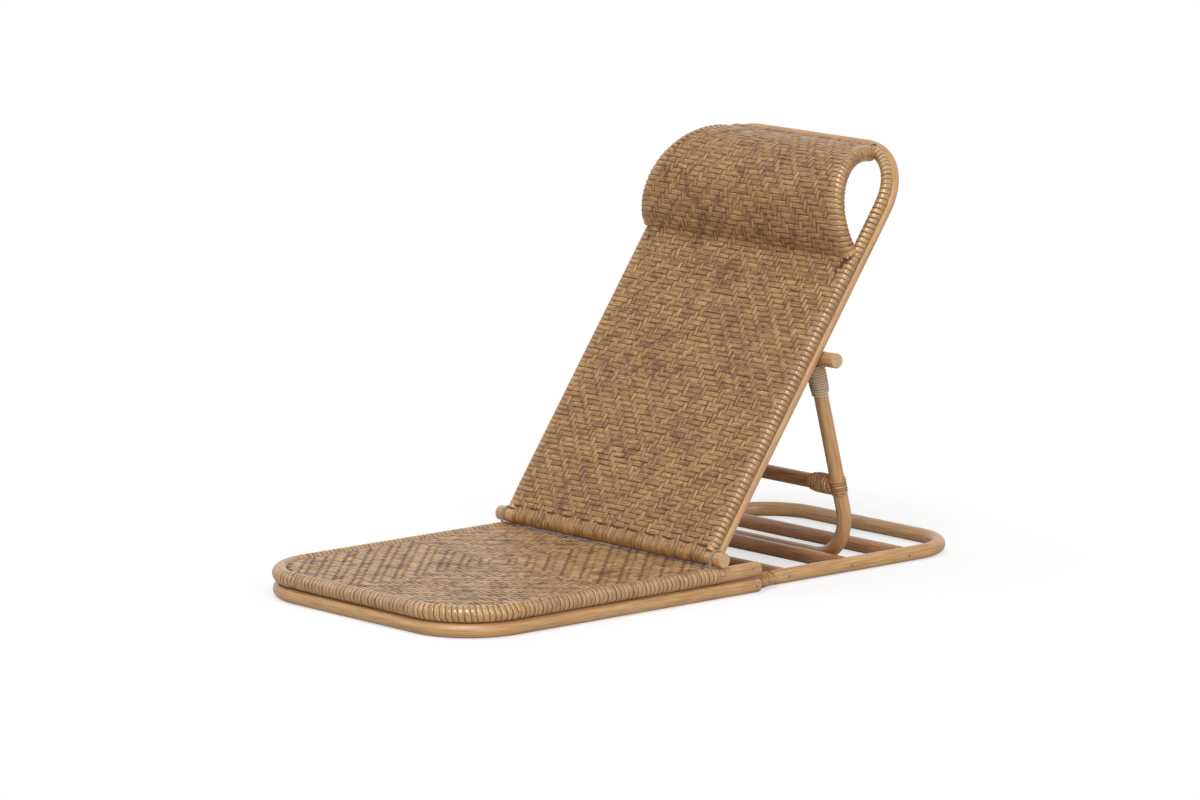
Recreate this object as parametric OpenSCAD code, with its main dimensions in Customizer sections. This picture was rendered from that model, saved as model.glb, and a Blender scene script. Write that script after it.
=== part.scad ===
// Low folding sun lounger of bent rattan poles with woven cane mats.
// Millimetres, +Z up, front of the seat towards -Y, floor at Z = 0.

/* [Poles] */
// Diameter of the thick rattan poles
pole_d = 25; // [20:0.5:30]
// Diameter of the two slim poles of the backrest, one wrapped and one bare
slim_d = 17; // [14:0.5:20]
// Diameter of the poles of the prop
prop_d = 25; // [20:0.5:26]
// Diameter of the bar at the rear edge of the seat mat
rear_bar_d = 20; // [16:0.5:20.5]
// Thickness of the cane wound round a pole
wrap_t = 1.2; // [1:0.1:2]

/* [Seat] */
// Width between the centres of the two side poles
seat_w = 534; // [500:1:600]
// Length from the hinge to the centre of the front pole
seat_len = 549; // [530:1:560]
// Bend radius of the front corners
seat_bend_r = 112; // [60:1:130]
// Length of the side poles behind the hinge
tail_len = 88; // [80:1:95]
// Thickness of the woven mats
mat_t = 3; // [2:0.25:3]
// Depth of the seat mat below the top of its edge wrap
mat_drop = 4.5; // [4:0.1:6]

/* [Rear rack] */
// Length from the hinge to the centre of the rear bar
rack_len = 584.5; // [560:0.5:620]
// Bend radius of the rear corners
rack_bend_r = 105; // [80:1:125]
// Length of the rack poles hidden beside the seat poles, ahead of the hinge
rack_lap = 40; // [20:1:80]
// Distance of the first slat from the hinge
slat_1_y = 171; // [166:1:180]
// Distance of the second slat from the hinge
slat_2_y = 312; // [290:1:320]
// Distance of the third slat from the rear bar
slat_3_gap = 138.5; // [134:0.5:150]

/* [Backrest] */
// Angle of the backrest to the floor
back_angle = 55; // [50:1:60]
// Width between the centres of the backrest's side poles
back_w = 499; // [480:1:506]
// Offset of the wrapped poles in front of the hinge
wrapped_n = 7.2; // [6:0.1:8]
// Length from the hinge to the slim top bar
slim_len = 778; // [770:1:800]
// Bend radius of the slim pole's corners
slim_bend_r = 115; // [95:1:125]
// Length from the hinge to the wrapped top bar
wrapped_len = 763; // [756:1:766]
// Bend radius of the wrapped pole's corners
wrapped_bend_r = 100; // [90:1:106]
// Reach of the hinge bar beyond the centres of the seat's side poles
hinge_reach = 15.5; // [14:0.5:25]
// Distance of the upper bar from the hinge, along the backrest
upper_bar_s = 392.4; // [385:0.2:400]
// Length of the upper bar
upper_bar_len = 562; // [545:1:575]

/* [Headrest] */
// Distance of the neck from the hinge, along the backrest
neck_s = 577; // [572:1:582]
// Width between the cheek poles at the neck
neck_w = 484; // [478:1:488]
// Width between the cheek poles at the top bar
crown_w = 350; // [336:1:356]
// Radius of the cheek poles' curve
cheek_r = 114.5; // [113:0.5:116]
// Length of the overlap of the head mat on the back mat
hem_len = 48; // [30:1:60]

/* [Prop] */
// Width between the centres of the prop's legs at the upper bar
prop_top_w = 446; // [438:1:448]
// Spread of the legs on each side, from the bar to the floor
leg_spread = 7.9; // [4:0.1:9]
// Bend radius at the foot of the legs
foot_bend_r = 97; // [60:1:105]
// Distance of the prop's crossbar below the upper bar
crossbar_drop = 230; // [220:1:240]
// Width of the strap that each leg wraps round the upper bar
strap_w = 12; // [8:1:14]
// Thickness of that strap
strap_t = 2.8; // [2:0.1:3]

/* [Cords and nails] */
// Diameter of the cord on the leg tops
lashing_d = 2.6; // [2:0.2:3.6]
// Turns of the cord on each leg top
lashing_turns = 6; // [4:1:6]
// Diameter of the cane on the crossbar joints
cane_d = 2; // [1.6:0.2:3]
// Turns of cane round each leg at the crossbar
leg_cane_turns = 4; // [3:1:4]
// Turns of cane round each end of the crossbar
bar_cane_turns = 5; // [3:1:6]
// Diameter of the cane that binds the rack to the seat poles
bind_d = 1.8; // [1.4:0.1:2]
// Turns of that cane on each side
bind_turns = 5; // [3:1:6]
// Diameter of the cord that ties the hinge bar down
tie_d = 2.6; // [2:0.1:3]
// Diameter of the nails
nail_d = 3.2; // [2.5:0.1:4]

/* [Hidden] */
$fn = 64;

// Clearances
fit = 0.2;   // between a pole and the cane wound round it
touch = 0.1; // between two pieces of one body that lean on each other
run = 0.3;   // between pieces that move against each other

pole_r = pole_d / 2;
slim_r = slim_d / 2;
prop_r = prop_d / 2;
wrap_r = pole_r + wrap_t;
sleeve_r = pole_r + fit;
frame_wrap_r = slim_r + wrap_t;
frame_sleeve_r = slim_r + fit;
hinge_bar_len = seat_w + 2 * hinge_reach;
slat_3_y = rack_len - slat_3_gap;
end_cut = 2.5; // chamfer on the cut ends of thick poles
bend_draw = 0.05; // how much thinner a pole is in its bends
bend_lap = 0.5; // how far a straight reaches into a bend

// The part's middle in Y lies midway between the front and the rear edge
hinge_y = (seat_len + wrap_r - rack_len - pole_r) / 2;
low_z = pole_r;
top_z = 3 * pole_r + wrap_t + fit;
hinge_z = top_z + wrap_r + run + pole_r;
mat_top_z = top_z + wrap_r - mat_drop;
rack_x = seat_w / 2 - pole_d - run;
rear_bar_r = rear_bar_d / 2;
rear_bar_y = hinge_y + 16;
rear_bar_z = mat_top_z - rear_bar_r - wrap_t;
front_y = hinge_y - seat_len;
tail_y = hinge_y + tail_len;
rack_y = hinge_y + rack_len;
wrap_end_y = hinge_y + 2;

// Places in the backrest are [x, s, n]: s runs up it from the hinge, n points to its front
slim_n = wrapped_n - frame_wrap_r - slim_r;
upper_bar_n = slim_n - slim_r - touch - pole_r;
back_x = back_w / 2;
wrap_start_s = 22;
back_mat_end_s = neck_s - 17;
mat_front_n = wrapped_n + frame_wrap_r - 0.4;
bar_wrap_x = back_x - slim_r - 1;

// Cheek poles: circular curves in planes that lean in towards the top bar
crown_drop = 11; // from the wrapped top bar to the cheeks' upper ends
crown_s = wrapped_len - crown_drop;
lean = atan2((neck_w - crown_w) / 2, crown_s - neck_s);
cheek_run = (crown_s - neck_s) / cos(lean);
neck_n = wrapped_n + frame_wrap_r + wrap_r + 6.4;
crown_n = wrapped_n + 5.8;
chord = norm([cheek_run, crown_n - neck_n]);
chord_tilt = atan2(crown_n - neck_n, cheek_run);
half_turn = asin(chord / 2 / cheek_r);
cheek_mid = [cheek_run / 2, (neck_n + crown_n) / 2];
cheek_depth = cheek_r * cos(half_turn);
cheek_c = cheek_mid + cheek_depth * [sin(chord_tilt), -cos(chord_tilt)];
cheek_tail = 13; // degrees of curve beyond the neck
crown_tail = 2; // degrees of curve beyond the crown

// The prop stands on the floor behind the second slat
pivot = [0, hinge_y + upper_bar_s * cos(back_angle) - upper_bar_n * sin(back_angle),
         hinge_z + upper_bar_s * sin(back_angle) + upper_bar_n * cos(back_angle)];
foot_slope = atan2(hinge_y + slat_2_y + pole_r + prop_r - pivot[1], pivot[2] - prop_r);
foot = [0, hinge_y + slat_2_y + (pole_r + run + prop_r) / cos(foot_slope), prop_r];
prop_len = norm(foot - pivot);
prop_lean = atan2(foot[1] - pivot[1], pivot[2] - foot[2]);
leg_tilt = atan2(leg_spread, prop_len);
bar_bore_r = pole_r + run;
function leg_x(drop) = prop_top_w / 2 + drop * tan(leg_tilt);

// Bulbs under the windings: [distance, radius] pairs
leg_bulb = [[pole_r + 2, 12.5], [24, 14.2], [48, 14.2], [66, prop_r - 0.2]];
bar_bulb = [[0, 15.2], [34, 15.2], [52, prop_r - 0.2]];
bind_start = 5;
bind_len = 50;
bind_gap = 0.7;
neck_r = pole_r - bind_d - bind_gap - 0.1;
// Tongue on the seat pole beside the rack pole: offsets between their centres, and radii
tongue_x = [seat_w / 2 - 3.5 - rack_x, 14.5];
tongue_r = [8, 3.4];
tongue_len = bind_start + bind_len - 2 + end_cut;

rings_per_turn = 18;
cord_sides = 6;

function unit(v) = v / norm(v);

// Least distance between turns of a winding, less the thickness of its cord
function least_gap(path, d) = min([
    for (i = [0 : len(path) - 1])
        for (j = [i + ceil(rings_per_turn * 0.6) : 1 : len(path) - 1])
            norm(path[i] - path[j])
]) - d;

// Straight pole from a to b, with a radius at each end
module rod(a, b, r, r_end) {
    v = b - a;
    translate(a)
        rotate([0, acos(v[2] / norm(v)), atan2(v[1], v[0])])
            cylinder(h = norm(v), r1 = r, r2 = is_undef(r_end) ? r : r_end);
}

// Straight pole from a to b whose two ends are chamfered
module cut_rod(a, b, r, cut) {
    u = unit(b - a);
    rod(a, a + cut * u, r - cut, r);
    rod(a + cut * u, b - cut * u, r);
    rod(b - cut * u, b, r, r - cut);
}

// Quarter or other part of a ring that leaves p along u and turns towards v
module bend(p, u, v, bend_r, r) {
    turn = acos(u * v);
    w = unit(v - (u * v) * u);
    z = cross(u, w);
    c = p - bend_r * tan(turn / 2) * u + bend_r * w;
    multmatrix([[-w[0], u[0], z[0], c[0]], [-w[1], u[1], z[1], c[1]],
                [-w[2], u[2], z[2], c[2]], [0, 0, 0, 1]])
        rotate_extrude(angle = turn)
            translate([bend_r, 0])
                circle(r = r);
}

// Pole bent at each inner point of a route, its straights lapping over the slightly drawn bends
module bent_pole(route, bend_r, r) {
    last = len(route) - 1;
    way = [for (i = [0 : last - 1]) unit(route[i + 1] - route[i])];
    cut = [for (i = [0 : last]) i == 0 || i == last ? 0
        : bend_r * tan(acos(way[i - 1] * way[i]) / 2) - bend_lap];
    for (i = [0 : last - 1])
        rod(route[i] + cut[i] * way[i], route[i + 1] - cut[i + 1] * way[i], r);
    for (i = [1 : last - 1])
        bend(route[i], way[i - 1], way[i], bend_r, r - bend_draw);
}

// Cord of even thickness swept along a route that winds round the Z axis
module cord(path, d) {
    n = len(path);
    way = [for (i = [0 : n - 1]) unit(path[min(i + 1, n - 1)] - path[max(i - 1, 0)])];
    side = [for (i = [0 : n - 1]) unit(cross(way[i], [0, 0, 1]))];
    points = [for (i = [0 : n - 1]) for (k = [0 : cord_sides - 1])
        let (a = 360 * k / cord_sides, up = cross(side[i], way[i]))
            path[i] + d / 2 * (cos(a) * side[i] + sin(a) * up)];
    walls = [for (i = [0 : n - 2]) for (k = [0 : cord_sides - 1])
        let (m = (k + 1) % cord_sides, a = i * cord_sides, b = a + cord_sides)
            each [[a + k, a + m, b + k], [a + m, b + m, b + k]]];
    e = (n - 1) * cord_sides;
    caps = [for (k = [1 : cord_sides - 2])
        each [[0, k + 1, k], [e, e + k, e + k + 1]]];
    polyhedron(points = points, faces = concat(walls, caps));
}

// Route of a winding round the Z axis, on a core of the given [height, radius] pairs
function coil(turns, h0, h1, core, d) = [
    for (i = [0 : turns * rings_per_turn])
        let (a = 360 * i / rings_per_turn,
             h = h0 + (h1 - h0) * i / (turns * rings_per_turn),
             r = lookup(h, core) + fit + d / 2)
            [r * cos(a), r * sin(a), h]
];

// Solid of revolution with the given [height, radius] pairs
module turned(core) {
    last = len(core) - 1;
    rotate_extrude()
        polygon(concat([[0, core[0][0]]], [for (c = core) [c[1], c[0]]], [[0, core[last][0]]]));
}

// Moves children from the backrest's own [x, s, n] places to where it stands
module in_backrest() {
    translate([0, hinge_y, hinge_z])
        rotate([back_angle, 0, 0])
            children();
}

// Moves children from the prop's own places, with its pivot at the origin, to where it stands
module in_prop() {
    translate(pivot)
        rotate([prop_lean, 0, 0])
            children();
}

// Places a piece that is modelled on the +X side on the left or right
module on_side(side) {
    if (side > 0) children();
    else mirror([1, 0, 0]) children();
}

// Rounded front, square rear: the seat's outline between its pole centres
module seat_outline(rear_y) {
    x = seat_w / 2;
    translate([-x, front_y + seat_bend_r])
        square([seat_w, rear_y - front_y - seat_bend_r]);
    translate([-x + seat_bend_r, front_y])
        square([seat_w - 2 * seat_bend_r, seat_bend_r + 1]);
    for (side = [-1, 1])
        translate([side * (x - seat_bend_r), front_y + seat_bend_r])
            circle(r = seat_bend_r);
}

function seat_route(z, rear_y) = [
    [seat_w / 2, rear_y, z], [seat_w / 2, front_y, z],
    [-seat_w / 2, front_y, z], [-seat_w / 2, rear_y, z]
];

// Chamfered ends of a U-shaped pole of the seat
module seat_pole_ends(z) {
    for (side = [-1, 1])
        rod([side * seat_w / 2, tail_y - end_cut, z], [side * seat_w / 2, tail_y, z],
            pole_r, pole_r - end_cut);
}

nail_y = tail_y - 14;

// Nails that hold the seat poles to the rack poles, one level and one slanting
module frame_nail_shapes(r) {
    for (side = [-1, 1]) {
        rod([side * (seat_w / 2 + pole_r - 0.6), nail_y, low_z],
            [side * (rack_x - 4), nail_y, low_z], r);
        rod([side * (seat_w / 2 + pole_r - 2), nail_y - 8, top_z + 1],
            [side * (rack_x - 2), nail_y - 8, low_z + 2], r);
    }
}

module slat_nail_shapes(r) {
    for (y = [slat_1_y, slat_2_y, slat_3_y])
        for (side = [-1, 1])
            rod([side * (rack_x + pole_r - 0.5), hinge_y + y, low_z],
                [side * (rack_x - pole_r - 25), hinge_y + y, low_z], r);
}

tie_r = tie_d / 2;
tie_bend_r = pole_r + run + tie_r;
tie_x = seat_w / 2 - 3.5;
tie_depth = 8; // of the tie's ends below the seat pole's centre line
tie_end_z = top_z - tie_depth;

// Two strands over the hinge bar, with their ends in holes in the seat pole
module tie_strands() {
    for (k = [0, 1])
        translate([tie_x - k * (tie_d + run), hinge_y, 0]) {
            for (side = [-1, 1])
                rod([0, side * tie_bend_r, tie_end_z], [0, side * tie_bend_r, hinge_z], tie_r);
            bend([0, tie_bend_r, hinge_z + tie_bend_r], [0, 0, 1], [0, -1, 0], tie_bend_r, tie_r);
            bend([0, -tie_bend_r, hinge_z + tie_bend_r], [0, -1, 0], [0, 0, -1], tie_bend_r, tie_r);
        }
}

module tie_holes() {
    for (side = [-1, 1])
        on_side(side)
            for (k = [0, 1])
                for (f = [-1, 1])
                    translate([tie_x - k * (tie_d + run), hinge_y + f * tie_bend_r, tie_end_z - 1])
                        cylinder(h = hinge_z, r = tie_r + fit);
}

module seat_frame_pole() {
    color("peru")
        difference() {
            union() {
                bent_pole(seat_route(top_z, tail_y - end_cut), seat_bend_r, pole_r);
                seat_pole_ends(top_z);
            }
            frame_nail_shapes(nail_d / 2 + touch);
            tie_holes();
        }
}

module floor_frame_pole() {
    color("burlywood")
        difference() {
            union() {
                bent_pole(seat_route(low_z, tail_y - end_cut), seat_bend_r, pole_r);
                seat_pole_ends(low_z);
                // tapered tongues that the rack's bindings take in
                for (side = [-1, 1])
                    rod([side * (rack_x + tongue_x[0]), tail_y - end_cut, low_z],
                        [side * (rack_x + tongue_x[1]), tail_y - end_cut + tongue_len, low_z],
                        tongue_r[0], tongue_r[1]);
            }
            frame_nail_shapes(nail_d / 2 + touch);
        }
}

module seat_rear_bar() {
    x = seat_w / 2;
    color("peru")
        difference() {
            rod([-x, rear_bar_y, rear_bar_z], [x, rear_bar_y, rear_bar_z], rear_bar_r);
            for (side = [-1, 1])
                rod([side * x, rear_bar_y - 30, top_z], [side * x, rear_bar_y + 30, top_z],
                    wrap_r + touch);
        }
}

module seat_mat() {
    x = seat_w / 2;
    color("tan")
        difference() {
            union() {
                translate([0, 0, mat_top_z - mat_t])
                    linear_extrude(mat_t)
                        seat_outline(rear_bar_y);
                bent_pole(seat_route(top_z, wrap_end_y), seat_bend_r, wrap_r);
                rod([-x + wrap_r, rear_bar_y, rear_bar_z], [x - wrap_r, rear_bar_y, rear_bar_z],
                    rear_bar_r + wrap_t);
            }
            bent_pole(seat_route(top_z, tail_y), seat_bend_r, sleeve_r);
            rod([-x, rear_bar_y, rear_bar_z], [x, rear_bar_y, rear_bar_z], rear_bar_r + fit);
            tie_holes();
        }
}

module rear_loop() {
    front = hinge_y - rack_lap;
    a = tail_y + bind_start - 3;
    b = tail_y + bind_start + bind_len + 3;
    route = [[rack_x, b, low_z], [rack_x, rack_y, low_z],
             [-rack_x, rack_y, low_z], [-rack_x, b, low_z]];
    color("burlywood")
        difference() {
            union() {
                bent_pole(route, rack_bend_r, pole_r);
                for (side = [-1, 1]) {
                    x = side * rack_x;
                    cut_rod([x, front, low_z], [x, a, low_z], pole_r, end_cut);
                    rod([x, a - end_cut, low_z], [x, b - end_cut, low_z], neck_r);
                    rod([x, b - end_cut, low_z], [x, b, low_z], neck_r, pole_r);
                }
            }
            slat_nail_shapes(nail_d / 2 + touch);
            frame_nail_shapes(nail_d / 2 + touch);
        }
}

// Slat whose ends are hollowed to sit against the rack's side poles
module slat(y) {
    color("sienna")
        difference() {
            rod([-rack_x, hinge_y + y, low_z], [rack_x, hinge_y + y, low_z], pole_r);
            for (side = [-1, 1])
                rod([side * rack_x, hinge_y + y - 30, low_z], [side * rack_x, hinge_y + y + 30, low_z],
                    pole_r + touch);
            slat_nail_shapes(nail_d / 2 + touch);
        }
}

module slat_nails() {
    color("dimgray") slat_nail_shapes(nail_d / 2);
}

module frame_nails() {
    color("dimgray") frame_nail_shapes(nail_d / 2);
}

// Point at angle a on a band drawn tight round two poles of radius r[0] and r[1] that lie x apart
function band(a, x, r) =
    let (m = (a + 60) % 360 - 60,
         t = acos((r[0] - r[1]) / x),
         side = m > 180 ? -1 : 1,
         k = m > 180 ? (m - 240) / 60 : (120 - m) / 60,
         near = r[0] * [cos(t), side * sin(t)],
         far = [x, 0] + r[1] * [cos(t), side * sin(t)],
         b = t + (360 - 2 * t) * (m - 120) / 120)
        m < 60 ? [x + r[1] * cos(t * m / 60), r[1] * sin(t * m / 60)]
        : m > 120 && m < 240 ? [r[0] * cos(b), r[0] * sin(b)]
        : near + k * (far - near);

// Route of the cane round the rack pole and the seat pole's tongue, which it draws in
bind_path = [
    for (i = [0 : bind_turns * rings_per_turn])
        let (f = i / (bind_turns * rings_per_turn),
             h = bind_start + 2 + (bind_len - 6) * f,
             share = (h + end_cut) / tongue_len,
             x = tongue_x[0] + (tongue_x[1] - tongue_x[0]) * share,
             tip_r = tongue_r[0] + (tongue_r[1] - tongue_r[0]) * share,
             p = band(360 * i / rings_per_turn, x, [neck_r, tip_r] + (bind_gap + bind_d / 2) * [1, 1]))
            [p[0], p[1], h]
];

module loop_binding(side) {
    color("rosybrown")
        on_side(side)
            translate([rack_x, tail_y, low_z])
                rotate([-90, 0, 0])
                    cord(bind_path, bind_d);
}

module hinge_tie(side) {
    color("darkkhaki")
        on_side(side)
            tie_strands();
}

module hinge_nail_shapes(r) {
    for (side = [-1, 1]) {
        x = side * back_x;
        rod([x, -pole_r + 0.6, wrapped_n / 2], [x, 45, wrapped_n], r);
        rod([x + side * 6, 7, slim_n - slim_r + 1.6], [x + side * 4, 4, 8], r);
    }
}

module hinge_bar() {
    color("burlywood")
        in_backrest()
            difference() {
                cut_rod([-hinge_bar_len / 2, 0, 0], [hinge_bar_len / 2, 0, 0], pole_r, 1);
                hinge_nail_shapes(nail_d / 2 + touch);
            }
}

function wrapped_route(s0) = [
    [back_x, s0, wrapped_n], [back_x, wrapped_len, wrapped_n],
    [-back_x, wrapped_len, wrapped_n], [-back_x, s0, wrapped_n]
];

module mat_frame() {
    color("peru")
        in_backrest()
            difference() {
                bent_pole(wrapped_route(2), wrapped_bend_r, slim_r - touch);
                rod([-back_w, 0, 0], [back_w, 0, 0], pole_r + touch);
                hinge_nail_shapes(nail_d / 2 + touch);
            }
}

module slim_frame() {
    route = [[back_x, 4, slim_n], [back_x, slim_len, slim_n],
             [-back_x, slim_len, slim_n], [-back_x, 4, slim_n]];
    color("burlywood")
        in_backrest()
            difference() {
                bent_pole(route, slim_bend_r, slim_r - touch);
                rod([-back_w, 0, 0], [back_w, 0, 0], pole_r + touch);
                hinge_nail_shapes(nail_d / 2 + touch);
                bar_nail_shapes(nail_d / 2 + touch);
            }
}

// Frame of a cheek's plane: it starts at the neck, runs along the lean and towards the front
module in_cheek(side) {
    on_side(side)
        translate([neck_w / 2, neck_s, 0])
            rotate([0, 0, lean])
                multmatrix([[0, 0, 1, 0], [1, 0, 0, 0], [0, 1, 0, 0], [0, 0, 0, 1]])
                    children();
}

// Part of a ring along a cheek's curve, from its tail beyond the crown to its tail at the neck
module cheek_arc(side, r, more = 0) {
    start = 90 + chord_tilt - half_turn - crown_tail - more;
    in_cheek(side)
        translate([cheek_c[0], cheek_c[1], 0])
            rotate([0, 0, start])
                rotate_extrude(angle = 2 * half_turn + crown_tail + cheek_tail + 2 * more)
                    translate([cheek_r, 0])
                        circle(r = r);
}

// Room that the back mat and its side wraps take up beside a cheek's lower end
module below_neck() {
    for (side = [-1, 1])
        on_side(side)
            translate([bar_wrap_x - 8, neck_s - 100, -50])
                cube([60, back_mat_end_s + touch - neck_s + 100, 100]);
}

module cheek(side) {
    color("peru")
        in_backrest()
            difference() {
                cheek_arc(side, pole_r);
                bent_pole(wrapped_route(upper_bar_s), wrapped_bend_r, frame_wrap_r + touch);
                below_neck();
            }
}

module back_mat() {
    t = mat_t;
    front = mat_front_n;
    rise_s = 50;
    color("tan")
        in_backrest()
            difference() {
                union() {
                    rotate([90, 0, 90])
                        translate([0, 0, -bar_wrap_x])
                            linear_extrude(2 * bar_wrap_x)
                                polygon([[0, wrap_r - t], [0, wrap_r], [rise_s, front],
                                         [back_mat_end_s, front], [back_mat_end_s, front - t],
                                         [rise_s, front - t]]);
                    translate([-back_x, rise_s, front - t])
                        cube([back_w, back_mat_end_s - rise_s, t]);
                    for (side = [-1, 1])
                        rod([side * back_x, wrap_start_s, wrapped_n],
                            [side * back_x, back_mat_end_s, wrapped_n], frame_wrap_r);
                    rod([-bar_wrap_x, 0, 0], [bar_wrap_x, 0, 0], wrap_r);
                }
                for (side = [-1, 1])
                    rod([side * back_x, 0, wrapped_n], [side * back_x, neck_s, wrapped_n], frame_sleeve_r);
                rod([-back_w, 0, 0], [back_w, 0, 0], sleeve_r);
            }
}

// Points of the head mat's section at a distance k outside the cheeks' curve
function roll_points(k, a0, a1) = [
    for (i = [0 : 28])
        let (a = a0 + (a1 - a0) * i / 28)
            [neck_s + (cheek_c[0] + (cheek_r + k) * sin(a)) * cos(lean),
             cheek_c[1] + (cheek_r + k) * cos(a)]
];

function rev(list) = [for (i = [len(list) - 1 : -1 : 0]) list[i]];

module head_mat() {
    out = wrap_r - 1;
    base_n = mat_front_n + touch;
    a0 = -acos((base_n + mat_t - cheek_c[1]) / (cheek_r + out));
    a1 = 64;
    outer = roll_points(out, a0, a1);
    inner = roll_points(out - mat_t, a0 + 1, a1);
    hem_s = outer[0][0] - hem_len;
    section = concat([[hem_s, base_n], [hem_s, base_n + 2], [outer[0][0] - 8, base_n + mat_t]], outer,
                     rev(inner), [[outer[0][0] - 2, base_n]]);
    bar_x = back_x - wrapped_bend_r - touch;
    hem_x = bar_wrap_x - 8;
    color("tan")
        in_backrest()
            difference() {
                union() {
                    intersection() {
                        rotate([90, 0, 90])
                            translate([0, 0, -back_x])
                                linear_extrude(2 * back_x)
                                    polygon(section);
                        linear_extrude(200)
                            polygon([[-hem_x, hem_s], [hem_x, hem_s], [hem_x, back_mat_end_s],
                                     [neck_w / 2, back_mat_end_s], [neck_w / 2, neck_s],
                                     [crown_w / 2 - 10, slim_len], [-crown_w / 2 + 10, slim_len],
                                     [-neck_w / 2, neck_s],
                                     [-neck_w / 2, back_mat_end_s], [-hem_x, back_mat_end_s]]);
                    }
                    for (side = [-1, 1])
                        cheek_arc(side, wrap_r);
                    rod([-bar_x, wrapped_len, wrapped_n], [bar_x, wrapped_len, wrapped_n], frame_wrap_r);
                }
                below_neck();
                for (side = [-1, 1])
                    cheek_arc(side, sleeve_r, 4);
                rod([-back_x, wrapped_len, wrapped_n], [back_x, wrapped_len, wrapped_n], frame_sleeve_r);
                for (side = [-1, 1])
                    rod([side * back_x, upper_bar_s, wrapped_n],
                        [side * back_x, wrapped_len - wrapped_bend_r, wrapped_n], frame_wrap_r + touch);
                for (side = [-1, 1])
                    on_side(side)
                        bend([back_x, wrapped_len, wrapped_n], [0, 1, 0], [-1, 0, 0], wrapped_bend_r,
                             frame_wrap_r + touch);
            }
}

module frame_wrap(side) {
    color("tan")
        in_backrest()
            on_side(side)
                difference() {
                    union() {
                        rod([back_x, back_mat_end_s + touch, wrapped_n],
                            [back_x, wrapped_len - wrapped_bend_r, wrapped_n], frame_wrap_r);
                        bend([back_x, wrapped_len, wrapped_n], [0, 1, 0], [-1, 0, 0],
                             wrapped_bend_r, frame_wrap_r);
                    }
                    bent_pole(wrapped_route(upper_bar_s), wrapped_bend_r, frame_sleeve_r);
                }
}

module bar_nail_shapes(r) {
    for (side = [-1, 1])
        rod([side * back_x, upper_bar_s, slim_n + slim_r - 1],
            [side * back_x, upper_bar_s, upper_bar_n - 6], r);
}

module upper_bar() {
    color("burlywood")
        in_backrest()
            difference() {
                cut_rod([-upper_bar_len / 2, upper_bar_s, upper_bar_n],
                        [upper_bar_len / 2, upper_bar_s, upper_bar_n], pole_r, 1);
                bar_nail_shapes(nail_d / 2 + touch);
            }
}

module bar_nails() {
    color("dimgray") in_backrest() bar_nail_shapes(nail_d / 2);
}

module hinge_nails() {
    color("dimgray") in_backrest() hinge_nail_shapes(nail_d / 2);
}

// Moves children, modelled down the Z axis, onto a leg's line below the upper bar
module on_leg(side) {
    on_side(side)
        translate([prop_top_w / 2, 0, 0])
            rotate([0, 180 - leg_tilt, 0])
                children();
}

module prop_frame() {
    pole_top = leg_bulb[3][0] - 6;
    a = [leg_x(pole_top), 0, -pole_top];
    b = [leg_x(prop_len), 0, -prop_len];
    route = [a, b, [-b[0], 0, b[2]], [-a[0], 0, a[2]]];
    color("burlywood")
        in_prop()
            difference() {
                union() {
                    bent_pole(route, foot_bend_r, prop_r);
                    for (side = [-1, 1]) {
                        on_leg(side)
                            turned(leg_bulb);
                        on_side(side)
                            translate([prop_top_w / 2 - strap_w / 2, 0, 0])
                                rotate([0, 90, 0])
                                    cylinder(h = strap_w, r = bar_bore_r + strap_t);
                    }
                }
                rod([-back_w, 0, 0], [back_w, 0, 0], bar_bore_r);
            }
}

leg_cane_r = prop_r + fit + cane_d + run;

module prop_crossbar() {
    x = leg_x(crossbar_drop);
    color("sienna")
        in_prop()
            difference() {
                union() {
                    rod([-x, 0, -crossbar_drop], [x, 0, -crossbar_drop], prop_r);
                    for (side = [-1, 1])
                        on_side(side)
                            translate([x - prop_r, 0, -crossbar_drop])
                                rotate([0, -90, 0])
                                    turned(bar_bulb);
                }
                for (side = [-1, 1])
                    on_leg(side)
                        translate([0, 0, crossbar_drop - 40])
                            cylinder(h = 80, r = leg_cane_r);
            }
}

lashing_path = coil(lashing_turns, pole_r + 8, 62, leg_bulb, lashing_d);
leg_cane_path = coil(leg_cane_turns, -13, 13, [[-20, prop_r], [20, prop_r]], cane_d);
bar_cane_path = coil(bar_cane_turns, 8, 46, bar_bulb, cane_d);
echo(least_gap_lashing = least_gap(lashing_path, lashing_d));
echo(least_gap_leg_cane = least_gap(leg_cane_path, cane_d));
echo(least_gap_bar_cane = least_gap(bar_cane_path, cane_d));
echo(least_gap_binding = least_gap(bind_path, bind_d));

module leg_lashing(side) {
    color("darkkhaki")
        in_prop()
            on_leg(side)
                cord(lashing_path, lashing_d);
}

module leg_cane(side) {
    color("rosybrown")
        in_prop()
            on_leg(side)
                translate([0, 0, crossbar_drop])
                    cord(leg_cane_path, cane_d);
}

module bar_cane(side) {
    color("rosybrown")
        in_prop()
            on_side(side)
                translate([leg_x(crossbar_drop) - prop_r, 0, -crossbar_drop])
                    rotate([0, -90, 0])
                        cord(bar_cane_path, cane_d);
}

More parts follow.
